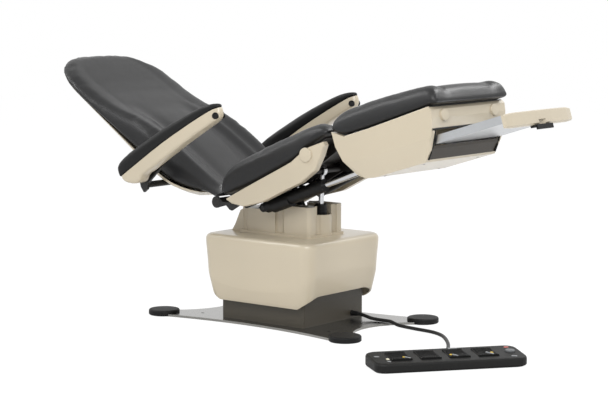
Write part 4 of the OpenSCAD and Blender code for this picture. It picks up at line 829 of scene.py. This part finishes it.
# Place along the arm, top, share of the width
ARM_FOAM = (
    (-108, 24, 0.55), (-106, 36, 0.82), (-99, 46, 0.95), (-84, 54, 1), (-60, 60, 1), (-30, 65, 1),
    (22, 69, 1), (80, 71.5, 1), (138, 74, 1), (200, 74.5, 1), (262, 73, 1), (315, 70.5, 1), (345, 68, 0.95),
    (368, 64, 0.84), (384, 59.5, 0.70), (396, 54.5, 0.53), (404, 49.5, 0.36), (408.5, 45, 0.20))
FOAM_LOOP = ((0.86, 0), (0.98, 0.08), (1, 0.35), (0.99, 0.62), (0.90, 0.86), (0.70, 0.97), (0.35, 1), (0, 1))


ARM_EDGE = 9.0
FOAM_LIFT, FOAM_WIDER = 1.2, 2.0
# Reach, rings and heights of the near-black strip under the foam, which paints the shadow in the gap under the
# pad
SHADE_STRIP_START, SHADE_STRIP_END, SHADE_STRIP_RINGS = -94, 400, 40
SHADE_STRIP_LOW, SHADE_STRIP_HIGH = -1.5, 2.2
# How far the pin's bore reaches through the inner wall and into the outer one
PIN_REACH = (-0.040, 0.0165)
PLUG_PROFILE = ((0.011, -0.006), (0.0112, 0.0015), (0.0106, 0.0030), (0.0092, 0.0038), (0.0080, 0.0036),
                (0.0072, 0.0026), (0.0060, 0.0024), (0.0030, 0.0030))
PLUG_TURN = math.radians(20.0)
PLUG_OUT_SHARE = 0.70


def arm_case_ring(x, low, share):
    top = between(ARM_SEAM, 1, x)
    h = ARM_HALF * share
    r = min(ARM_EDGE, 0.4 * (top - low))
    half = [(h, top), (h, 0.5 * (top + low + r)), (h, low + r), (h - 0.14 * r, low + 0.5 * r),
            (h - 0.5 * r, low + 0.14 * r), (h - r, low)]
    return in_millimetres([(x, y, z) for y, z in half] + [(x, -y, z) for y, z in reversed(half)])


def arm_foam_ring(x, top, share):
    low = between(ARM_SEAM, 1, x) + FOAM_LIFT
    h = (ARM_HALF + FOAM_WIDER) * share
    loop = [(y * h, low + z * (top - low)) for y, z in FOAM_LOOP]
    return in_millimetres([(x, 0.0, low)] + [(x, y, z) for y, z in loop]
                          + [(x, -y, z) for y, z in reversed(loop[:-1])])


def arm_shade_strip_ring(x):
    """A near-black strip between shell and foam, a little narrower than both: painted shadow in the gap under
    the pad.
    """
    z = between(ARM_SEAM, 1, x)
    h = ARM_HALF * min(0.955, 0.80 + (x + 98) / 60.0, between(ARM_CASE, 2, x) * 0.93)
    return in_millimetres([(x, h, z + SHADE_STRIP_LOW), (x, h, z + SHADE_STRIP_HIGH), (x, -h, z + SHADE_STRIP_HIGH),
                           (x, -h, z + SHADE_STRIP_LOW)])


def armrests():
    """Beige arm shells that follow the pads' seam, a near-black strip of painted shadow under the foam, and
    plugs at the hand.
    """
    for side, place in (("left", ARM_LEFT), ("right", MIRROR @ ARM_LEFT)):
        body = f"arm_{side}"
        shell = loft(f"arm_case_{side}", [arm_case_ring(*row) for row in ARM_CASE], "beige_cover", place)
        pin = [place @ Vector((ARM_PIN[0] * MM, y, ARM_PIN[1] * MM)) for y in PIN_REACH]
        bored(shell, pin, ARM_PIN_BORE * MM)
        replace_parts(finished(shell, body), f"arm_shell_{side}")
        shade_strip = [arm_shade_strip_ring(x) for x in np.linspace(SHADE_STRIP_START, SHADE_STRIP_END, SHADE_STRIP_RINGS)]
        # Painted shadow: a near-black band where the gap under the pad falls in shade
        finished(loft(f"arm_shade_strip_{side}", shade_strip, "shadow_black", place), body)
        foam = loft(f"arm_foam_form_{side}", [arm_foam_ring(*row) for row in ARM_FOAM], "arm_pad", place)
        upholstered(f"arm_foam_{side}", f"arm_pad_{side}", body, Matrix(), 0.004, press=3.0, finish="arm_pad",
                    voxel=0.004, form=foam)
        for face, out in (("outer", 1.0), ("inner", -1.0)):
            at = Vector((ARM_PLUG[0], out * PLUG_OUT_SHARE * ARM_HALF, ARM_PLUG[1])) * MM
            spot = (Matrix.Translation(at) @ Matrix.Rotation(-out * PLUG_TURN, 4, "Z")
                    @ Matrix.Rotation(-out * math.pi / 2, 4, "X"))
            plug = turned(f"arm_plug_{side}_{face}", PLUG_PROFILE, "plug_black", place @ spot)
            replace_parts(finished(plug, body), f"arm_plugs_{side}")


# Back shell

BACK_DROP = 60.0
HUB_SHARE, HUB_HEIGHT, HUB_REACH = 0.239, -0.084, 0.30
HUB_BORE = 0.0126
SHELL_WALL, SHELL_INSET, SHELL_GAP = 3.0, 2.0, 0.4
# Share along the back, underside of the cushion as a share of its drop, then in millimetres the height of the
# rim's side and the depth in the middle
SHELL_ROWS = (
    (0.070, 0.0, 5, 14), (0.085, 0.14, 7, 26), (0.105, 0.30, 10, 38), (0.125, 0.44, 12, 45),
    (0.145, 0.57, 13, 46), (0.19, 0.80, 13, 46), (0.235, 0.94, 13, 46), (0.29, 1, 13, 46), (0.345, 1, 12, 45),
    (0.40, 1, 11, 42), (0.46, 1, 9, 38), (0.52, 1, 8, 36), (0.58, 1, 7, 35), (0.64, 1, 6, 33),
    (0.70, 1, 5, 31), (0.77, 1, 4, 29), (0.84, 1, 3, 26), (0.89, 1, 2.5, 20), (0.93, 1, 2, 15),
    (0.965, 1.01, 2, 11), (0.982, 1.03, 2, 8))



def mirrored_loop(points, half):
    """Both sides of an outline that is given from its edge to its middle, in shares of the half width."""
    side = [(y * half, d) for y, d in points]
    return side + [(-y, d) for y, d in reversed(side[:-1])]


def back_shell_ring(k, under, rim, depth):
    half = float(back_half(-k * BACK_LENGTH)) / MM - SHELL_INSET
    top = -under * BACK_DROP - SHELL_GAP
    belly = depth - rim
    outer = [(1, 0), (0.992, 0.5 * rim), (0.976, 0.85 * rim), (0.945, rim + 0.03 * belly),
             (0.80, rim + 0.45 * belly), (0.62, rim + 0.85 * belly), (0.42, depth), (0, depth)]
    wall = min(SHELL_WALL, 0.4 * rim, 0.3 * half)
    inner = [(max(0.0, y - wall / half), max(0.0, d - wall)) for y, d in outer]
    both = mirrored_loop(outer, half) + mirrored_loop(inner, half)[::-1]
    return in_millimetres([(-k * BACK_LENGTH / MM, y, top - d) for y, d in both])


def back_cover():
    """The back's moulded shell: a low rim under the cushion that turns in towards a shallow belly."""
    rows = []
    for a, b in zip(SHELL_ROWS, SHELL_ROWS[1:]):
        rows += [a, [(p + q) / 2.0 for p, q in zip(a, b)]]
    rows.append(SHELL_ROWS[-1])
    shell = loft("back_cover", [back_shell_ring(*row) for row in rows], "beige_cover", BACK, strip=True)
    hub = [BACK @ Vector((-HUB_SHARE * BACK_LENGTH, y, HUB_HEIGHT)) for y in (-HUB_REACH, HUB_REACH)]
    bored(shell, hub, HUB_BORE)
    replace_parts(finished(shell, "back"), "back_shell")


# Base shroud

SHROUD_X, SHROUD_HX, SHROUD_HY = 0.0015, 0.2325, 0.199
SHROUD_LOW, SHROUD_SHOULDER, SHROUD_TOP = 0.073, 0.283, 0.300
SHROUD_ARCH, SHROUD_CORNER, SHROUD_WALL = 0.042, 0.042, 0.004
SHROUD_HOLE = (-0.030, 0.125, 0.080)
TIP_BACK, ARCH_RUN = 0.042, 0.098
CREASE_HEIGHT, CREASE_CLIMB, CREASE_STEP = 0.047, 0.040, 0.070
# How far each ring stands in from the widest outline: below the crease by its share of the way up to it,
# above the crease by its share of the way to the shoulder, and over the shoulder by its height
SHROUD_BAND = ((0.0, 0.0150), (0.04, 0.0136), (0.25, 0.0106), (0.5, 0.0070), (0.75, 0.0036), (0.94, 0.0012),
               (1.0, 0.0005))
SHROUD_RISE = ((0.12, -0.0004), (0.4, -0.0022), (0.7, -0.0050), (0.86, -0.0064))
SHROUD_EDGE = ((SHROUD_SHOULDER, -0.0066), (0.2895, -0.0050), (0.2945, -0.0014), (0.2980, 0.0040),
               (0.2995, 0.0100), (SHROUD_TOP, 0.0180))
SIDE_STEPS, CORNER_STEPS = 14, 12


def shroud_quarter(hx, hy, r):
    """A quarter of the outline, from a side's middle to an end's, each point with its run past the corner."""
    points = []
    for i in range(SIDE_STEPS):
        x = (hx - r) * (1.0 - (1.0 - i / SIDE_STEPS) ** 1.6)
        points.append((x, hy, x - (hx - r) - r * math.pi / 4))
    for i in range(CORNER_STEPS + 1):
        a = math.pi / 2 * i / CORNER_STEPS
        points.append((hx - r + r * math.sin(a), hy - r + r * math.cos(a), r * (a - math.pi / 4)))
    for i in range(1, SIDE_STEPS + 1):
        y = (hy - r) * (1.0 - i / SIDE_STEPS) ** 1.6
        points.append((hx, y, r * math.pi / 4 + (hy - r) - y))
    return points


def shroud_outline(inset):
    hx, hy = SHROUD_HX - inset, SHROUD_HY - inset
    quarter = shroud_quarter(hx, hy, max(0.006, SHROUD_CORNER - inset * 0.6))
    ring = [(x, y, u) for x, y, u in quarter]
    ring += [(x, -y, u) for x, y, u in reversed(quarter[:-1])]
    ring += [(-x, -y, u) for x, y, u in quarter[1:]]
    ring += [(-x, y, u) for x, y, u in reversed(quarter[1:-1])]
    return [(x + SHROUD_X, y, u, abs(x) / hx) for x, y, u in ring]


def shroud_foot(run):
    t = min(1.0, max(0.0, (run + TIP_BACK) / ARCH_RUN)) ** 0.72
    return SHROUD_LOW + SHROUD_ARCH * t * t * (3.0 - 2.0 * t)


def shroud_crease(run, along):
    """The crease sags in the middle of the long sides and climbs towards the ends."""
    past = min(1.0, max(0.0, (run + 0.03) / 0.09))
    return SHROUD_LOW + CREASE_HEIGHT + CREASE_CLIMB * along ** 2.4 * (1.0 - past) + CREASE_STEP * past


def shroud_ring(inset, height_at):
    return [(x, y, height_at(run, along)) for x, y, run, along in shroud_outline(inset)]


def below_crease(share):
    """The height of a ring between the lower edge, at 0, and the crease, at 1."""
    return lambda run, along: shroud_foot(run) + share * (shroud_crease(run, along) - shroud_foot(run))


def above_crease(share):
    """The height of a ring between the crease, at 0, and the shoulder, at 1."""
    return lambda run, along: (shroud_crease(run, along)
                               + share * (SHROUD_SHOULDER - shroud_crease(run, along)))


def level(height):
    return lambda run, along: height


def base_cover():
    """The lower cover: flared walls, a belly that turns in below a sagging crease, and arched ends."""
    middle, half_x, half_y = SHROUD_HOLE
    hole = [(middle + (x - SHROUD_X) / SHROUD_HX * half_x, y / SHROUD_HY * half_y)
            for x, y, _, _ in shroud_outline(0.0)]
    rings = [shroud_ring(inset, below_crease(share)) for share, inset in SHROUD_BAND]
    rings += [shroud_ring(inset, above_crease(share)) for share, inset in SHROUD_RISE]
    rings += [shroud_ring(inset, level(height)) for height, inset in SHROUD_EDGE]
    rings += [[(x, y, SHROUD_TOP - drop) for x, y in hole] for drop in (0.0, SHROUD_WALL)]
    rings.append(shroud_ring(SHROUD_EDGE[-1][1], level(SHROUD_TOP - SHROUD_WALL - MM)))
    rings.append(shroud_ring(SHROUD_EDGE[0][1] + SHROUD_WALL, level(SHROUD_SHOULDER)))
    rings += [shroud_ring(inset + SHROUD_WALL, below_crease(share)) for share, inset in reversed(SHROUD_BAND)]
    verts = [p for ring in rings for p in ring]
    piece = new_piece("base_cover", verts, wrapped(len(rings), len(rings[0]), closed=True), "beige_cover")
    outward(piece.data)
    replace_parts(finished(piece, "lift", 50.0), "base_shroud")


# Small fittings


BOOT_X, BOOT_LOW, BOOT_TALL = 0.125, 0.378, 0.026
BOOT_BORE, BOOT_RADIUS, BOOT_RIPPLE = 0.0202, 0.0215, 0.0012
BOOT_STEPS, BOOT_SIDES = 24, 48


def rod_boot():
    """Rubber sleeve round the top of the tilt cylinder; its wall ripples by a sine rule."""
    shares = [i / BOOT_STEPS for i in range(BOOT_STEPS + 1)]
    wall = [(BOOT_RADIUS + BOOT_RIPPLE * math.sin(6.0 * math.pi * t), BOOT_LOW + BOOT_TALL * t)
            for t in shares]
    profile = [(BOOT_BORE, BOOT_LOW)] + wall + [(BOOT_BORE, BOOT_LOW + BOOT_TALL)]
    verts = [(BOOT_X + x, y, z) for r, z in profile for x, y in circle(r, BOOT_SIDES)]
    piece = new_piece("rod_boot", verts, wrapped(len(profile), BOOT_SIDES, closed=True), "rubber")
    outward(piece.data)
    finished(piece, "tilt_cylinder", 60.0)


# One side of the opening's edge, in the leg section's own axes
OPENING_EDGE = ((0.347, 0.1865, -0.150), (0.371, 0.1865, -0.119), (0.384, 0.1865, -0.095),
                (0.3955, 0.1865, -0.073), (0.3990, 0.1845, -0.0655), (0.4000, 0.178, -0.0632))
EDGING_RADIUS = 0.0030


def opening_edging_and_shadow():
    """Rubber edging round the top and sides of the opening that the drain tray slides through; its near-black
    tube also paints the shadow gap along the opening's edge.
    """
    path = [LEG @ Vector(p) for p in OPENING_EDGE]
    path += [LEG @ Vector((x, -y, z)) for x, y, z in reversed(OPENING_EDGE)]
    verts, faces = tube(smooth_path(path, 3), EDGING_RADIUS)
    # The near-black tube is rubber edging and also painted shadow along the opening's edge
    piece = new_piece("opening_edging_and_shadow", verts, faces, "gasket")
    outward(piece.data)
    finished(piece, "leg", 60.0)


# Share along the leg section, height of the cushion's board in millimetres
RIM_FLOOR = ((0.10, -4.0), (0.138, 0), (0.35, 0), (0.62, 3.95), (0.937, 9.6))
RIM_SECTION = ((201.4, -6.0), (206.8, -6.0), (206.8, -1.6), (206.2, -0.7), (205.0, -0.4), (201.4, -0.4))
RIM_START, RIM_END, RIM_RINGS = 0.137, 0.936, 30
LEG_LENGTH = 0.434


def housing_rims():
    """The housing's rim stands up round the cushion's board and closes its edge."""
    for label, sign in (("left", 1.0), ("right", -1.0)):
        rings = []
        for k in np.linspace(RIM_START, RIM_END, RIM_RINGS):
            board = between(RIM_FLOOR, 1, k)
            rings.append([(k * LEG_LENGTH, sign * y * MM, (board + z) * MM) for y, z in RIM_SECTION])
        finished(loft(f"housing_rim_{label}", rings, "beige_cover", LEG), "leg")


SCREW_RADIUS, SCREW_HEIGHT = 0.0042, 0.0028
SOCKET_SHARE, SOCKET_LIFT_SHARE = 0.52, 0.45
BELOW = 0.30
BRACKET_SIDE = 0.29
BRACKET_SPOTS = ((-0.318, 0.551), (-0.283, 0.570))
HOUSING_SPOTS = [(x, y) for x in (0.14, 0.30) for y in (-0.150, 0.150)]
SHELL_SPOTS = [(-share * BACK_LENGTH, y) for share in (0.24, 0.45, 0.66, 0.80) for y in (-0.06, 0.06)]


def hit_on(piece, start, way):
    """Where a line from a point meets a piece, or None."""
    tree = BVHTree.FromPolygons([piece.matrix_world @ v.co for v in piece.data.vertices],
                                [p.vertices for p in piece.data.polygons])
    return tree.ray_cast(start, way)[0]


def screw_heads(name, body, spots, facing):
    """Socket-head screws on the given spots, all facing one way."""
    if not spots:
        return
    mesh = bare_mesh(name, spots)
    facings = mesh.attributes.new("facing", "FLOAT_VECTOR", "POINT")
    facings.data.foreach_set("vector", list(facing) * len(spots))
    tree = Repeat("screw_heads", {
        "Head radius": SCREW_RADIUS, "Head height": SCREW_HEIGHT, "Socket share": SOCKET_SHARE})
    head = tree.node("GeometryNodeMeshCylinder", {}, {
        "Vertices": 24, "Radius": tree["Head radius"], "Depth": tree["Head height"]})["Mesh"]
    reach = tree["Head radius"] * tree["Socket share"]
    socket = tree.node("GeometryNodeMeshCylinder", {}, {
        "Vertices": 6, "Radius": reach, "Depth": tree["Head height"]})["Mesh"]
    up = tree.node("ShaderNodeCombineXYZ", {}, {"Z": tree["Head height"] * SOCKET_LIFT_SHARE})[0]
    raised = tree.node("GeometryNodeTransform", {}, {"Geometry": socket, "Translation": up})[0]
    cut = tree.node("GeometryNodeMeshBoolean", {"operation": "DIFFERENCE"}, {0: head, 1: raised})[0]
    way = tree.node("GeometryNodeInputNamedAttribute", {"data_type": "FLOAT_VECTOR"}, {
        "Name": "facing"})["Attribute"]
    turn = tree.node("FunctionNodeAlignRotationToVector", {"axis": "Z"}, {"Vector": way})[0]
    points = tree.node("GeometryNodeMeshToPoints", {}, {"Mesh": tree["Geometry"]})[0]
    row = tree.node("GeometryNodeInstanceOnPoints", {}, {
        "Points": points, "Instance": cut, "Rotation": turn})[0]
    finished(tree.grow(mesh, row, "steel"), body, 30.0)


def screws_under(name, body, piece, place, spots):
    """Screws in the underside of a piece, at spots of its own plan."""
    up = place.to_3x3() @ Vector((0.0, 0.0, 1.0))
    found = [hit_on(piece, place @ Vector((x, y, -BELOW)), up) for x, y in spots]
    screw_heads(name, body, [p for p in found if p is not None], -up)


def screws():
    """Fixing screws of the arm brackets, the leg housing and the back's shell."""
    for side, sign in (("left", 1.0), ("right", -1.0)):
        way = Vector((0.0, sign, 0.0))
        found = [hit_on(nodes[f"arm_bracket_{side}"], Vector((x, sign * BRACKET_SIDE, z)), way)
                 for x, z in BRACKET_SPOTS]
        screw_heads(f"bracket_screws_{side}", f"arm_hub_{side}", [p for p in found if p is not None], -way)
    screws_under("housing_screws", "leg", nodes["leg_housing"], LEG, HOUSING_SPOTS)
    screws_under("shell_screws", "back", bpy.data.objects["back_cover"], BACK, SHELL_SPOTS)


# Foot control

PEDAL_PITCH, PEDAL_FIRST, PEDAL_REACH = 0.092, 1.65, 0.042
PEDAL_LEVEL, PEDAL_HEIGHT, PEDAL_HALF = 0.032, 0.009, 0.032
DISH_SHARE = 0.45
BOARD_RISE, BOARD_TOP = 0.010, 0.041
BOARD_SLOPE = Matrix.Rotation(math.atan(BOARD_RISE / BOARD_WIDTH), 4, "X")
RIB_COUNT, RIB_SPREAD_SHARE = 13, 0.84
RIB_THICKNESS, RIB_MARGIN = 0.0022, 0.004


def pedal_place(i):
    return BOARD @ Matrix.Translation(((i - PEDAL_FIRST) * PEDAL_PITCH, 0.0, PEDAL_LEVEL)) @ BOARD_SLOPE


def dish(place, height=PEDAL_HEIGHT, reach=PEDAL_REACH):
    """How high a rocker's dished top stands at a place along its reach; the ribs' tree uses it too."""
    return height * ((1.0 - DISH_SHARE) + DISH_SHARE * (place / reach) ** 2.0)


def pedal_ribs():
    """Grip ribs across each rocker; their height follows the rocker's dish."""
    spread = PEDAL_REACH * RIB_SPREAD_SHARE
    for i in range(4):
        tree = Repeat("pedal_ribs", {
            "Dish height": PEDAL_HEIGHT, "Reach": PEDAL_REACH, "Rib length": 2.0 * (PEDAL_HALF - RIB_MARGIN),
            "Rib thickness": RIB_THICKNESS})
        spot = tree.node("ShaderNodeSeparateXYZ", {}, {0: tree.node("GeometryNodeInputPosition")[0]})
        rise = dish(spot[1], tree["Dish height"], tree["Reach"])
        up = tree.node("ShaderNodeCombineXYZ", {}, {"Z": rise})[0]
        lifted = tree.node("GeometryNodeSetPosition", {}, {"Geometry": tree["Geometry"], "Offset": up})[0]
        size = tree.node("ShaderNodeCombineXYZ", {}, {
            "X": tree["Rib length"], "Y": tree["Rib thickness"], "Z": tree["Rib thickness"]})[0]
        rib = tree.node("GeometryNodeMeshCube", {}, {"Size": size})["Mesh"]
        points = tree.node("GeometryNodeMeshToPoints", {}, {"Mesh": lifted})[0]
        row = tree.node("GeometryNodeInstanceOnPoints", {}, {"Points": points, "Instance": rib})[0]
        places = [(0.0, y, 0.0) for y in np.linspace(-spread, spread, RIB_COUNT)]
        piece = tree.grow(bare_mesh(f"pedal_ribs_{i + 1}", places), row, "pedal_rubber")
        piece.data.transform(pedal_place(i))
        finished(piece, f"pedal_{i + 1}", 30.0)


ROUND_STEPS = 8


def lozenge(name, finish, place, start, end, half_wide, height, low):
    """A low pad with round ends and a soft edge from one point to another of a plane."""
    start, end = Vector((*start, 0.0)), Vector((*end, 0.0))
    along = (end - start).normalized()
    side = Vector((-along.y, along.x, 0.0))
    rings = []
    for z, r in ((low, half_wide), (height * 0.6, half_wide), (height, half_wide - height * 0.5)):
        rings.append([centre + r * (math.cos(a) * along + math.sin(a) * side) + Vector((0.0, 0.0, z))
                      for centre, first in ((end, -math.pi / 2), (start, math.pi / 2))
                      for a in [first + math.pi * k / ROUND_STEPS for k in range(ROUND_STEPS + 1)]])
    return loft(name, rings, finish, place)


# Name, finish, start, end and half width, on the top of the board
BOARD_MARKS = (
    ("board_mark_cream", "mark_cream", (-0.1925, -0.020), (-0.1925, -0.026), 0.0050),
    ("board_mark_oval", "mark_grey", (-0.222, 0.012), (-0.214, 0.009), 0.0042),
    ("board_mark_small", "mark_grey", (-0.198, -0.048), (-0.194, -0.052), 0.0032),
    ("board_mark_pink", "mark_pink", (0.207, 0.048), (0.213, 0.048), 0.0050),
    ("board_mark_front", "mark_grey", (0.194, -0.054), (0.205, -0.058), 0.0034),
    ("board_mark_relief", "mark_grey", (0.030, 0.0655), (0.050, 0.0655), 0.0045))
MARK_HEIGHT, MARK_LOW, MARK_SINK = 0.0014, -0.0006, 0.005
# Pedal, yellow pad, start and end of the grey bar
PEDAL_MARKS = (
    (0, (0.012, -0.016), (0.015, -0.022), (0.025, -0.036)),
    (2, (-0.022, -0.014), (-0.018, -0.021), (-0.008, -0.036)),
    (3, (0.018, -0.010), (0.000, -0.012), (0.014, -0.036)))
PAD_HALF, PAD_RUN, PAD_LIFT, PAD_LOW = 0.0046, 0.003, 0.0012, -0.002
BAR_HALF, BAR_LIFT, BAR_LOW = 0.0026, 0.0008, -0.003
PEDAL_MARK_HEIGHT = 0.0012


def foot_marks():
    """Plain coloured pads and bars on the foot control."""
    top = BOARD @ Matrix.Translation((0.0, 0.0, BOARD_TOP - MARK_SINK)) @ BOARD_SLOPE
    for name, finish, start, end, half_wide in BOARD_MARKS:
        finished(lozenge(name, finish, top, start, end, half_wide, MARK_HEIGHT, MARK_LOW), "base")
    for i, spot, start, end in PEDAL_MARKS:
        body = f"pedal_{i + 1}"
        place = pedal_place(i) @ Matrix.Translation((0.0, 0.0, dish(spot[1]) + PAD_LIFT))
        pad = lozenge(f"pedal_mark_{i + 1}", "mark_yellow", place, spot, (spot[0], spot[1] - PAD_RUN),
                      PAD_HALF, PEDAL_MARK_HEIGHT, PAD_LOW)
        finished(pad, body)
        place = pedal_place(i) @ Matrix.Translation((0.0, 0.0, dish(end[1]) + BAR_LIFT))
        bar = lozenge(f"pedal_bar_{i + 1}", "mark_grey", place, start, end, BAR_HALF, PEDAL_MARK_HEIGHT,
                      BAR_LOW)
        finished(bar, body)


# Room, light and the calls that build the scene

FLOOR_HALF = 9.0
FLOOR_WHITE, FLOOR_GLOW, GLOW_SHARE = (0.90, 0.90, 0.90), 1.09, 0.84
SKY_COLOUR, SKY_STRENGTH = (0.98, 0.99, 1.0), 0.48
WHITE = (1.0, 1.0, 1.0)
LAMP_AIM = Vector((0.1, 0.0, 0.45))
# Name, place, width and power
LAMPS = (
    ("softbox_front", (2.7, -3.2, 3.1), 2.2, 112.0),
    ("softbox_left", (-3.0, -2.2, 3.4), 1.6, 62.0),
    ("softbox_back", (1.6, 2.6, 3.4), 1.4, 85.0))


def floor():
    """A pale floor that the camera sees a little brighter than it is lit."""
    paper = Paint("studio_paper")
    paper.set(Base_Color=FLOOR_WHITE, Roughness=0.6)
    seen = paper.node("ShaderNodeLightPath")["Is Camera Ray"]
    bright = paper.node("ShaderNodeEmission", {}, {"Color": WHITE, "Strength": FLOOR_GLOW})[0]
    lifted = paper.node("ShaderNodeMixShader", {}, {0: seen * GLOW_SHARE, 1: paper.shader[0], 2: bright})[0]
    paper.put(paper.end.made.inputs["Surface"], lifted)
    corners = [(x * FLOOR_HALF, y * FLOOR_HALF, 0.0) for x, y in ((-1, -1), (1, -1), (1, 1), (-1, 1))]
    mesh = bare_mesh("studio_floor", corners, (), [(0, 1, 2, 3)])
    mesh.materials.append(paper.material)
    linked("studio_floor", mesh)


def sky():
    """Soft light from all round; the camera and mirror-like surfaces see plain white."""
    world = bpy.data.worlds.new("studio")
    bpy.context.scene.world = world
    world.use_nodes = True
    tree = NodeTree(world.node_tree)
    ray = tree.node("ShaderNodeLightPath")
    white_seen = ray["Is Camera Ray"].math("MAXIMUM", ray["Is Camera Ray"], ray["Is Glossy Ray"])
    soft = tree.node("ShaderNodeBackground", {}, {"Color": SKY_COLOUR, "Strength": SKY_STRENGTH})[0]
    white = tree.node("ShaderNodeBackground", {}, {"Color": WHITE, "Strength": 1.0})[0]
    both = tree.node("ShaderNodeMixShader", {}, {0: white_seen, 1: soft, 2: white})[0]
    tree.node("ShaderNodeOutputWorld", {}, {"Surface": both})


def softbox(name, place, size, power):
    """A square lamp that faces the middle of the chair."""
    data = bpy.data.lights.new(name, "AREA")
    data.size = size
    data.energy = power
    lamp = linked(name, data)
    lamp.location = place
    lamp.rotation_euler = (LAMP_AIM - Vector(place)).to_track_quat("-Z", "Y").to_euler()


photo_camera()
control_cord()
dress_frame()
make_upholstery()
armrests()
back_cover()
base_cover()
rod_boot()
opening_edging_and_shadow()
housing_rims()
screws()
pedal_ribs()
foot_marks()
floor()
sky()
for lamp_row in LAMPS:
    softbox(*lamp_row)

bpy.context.scene.view_settings.view_transform = "Standard"
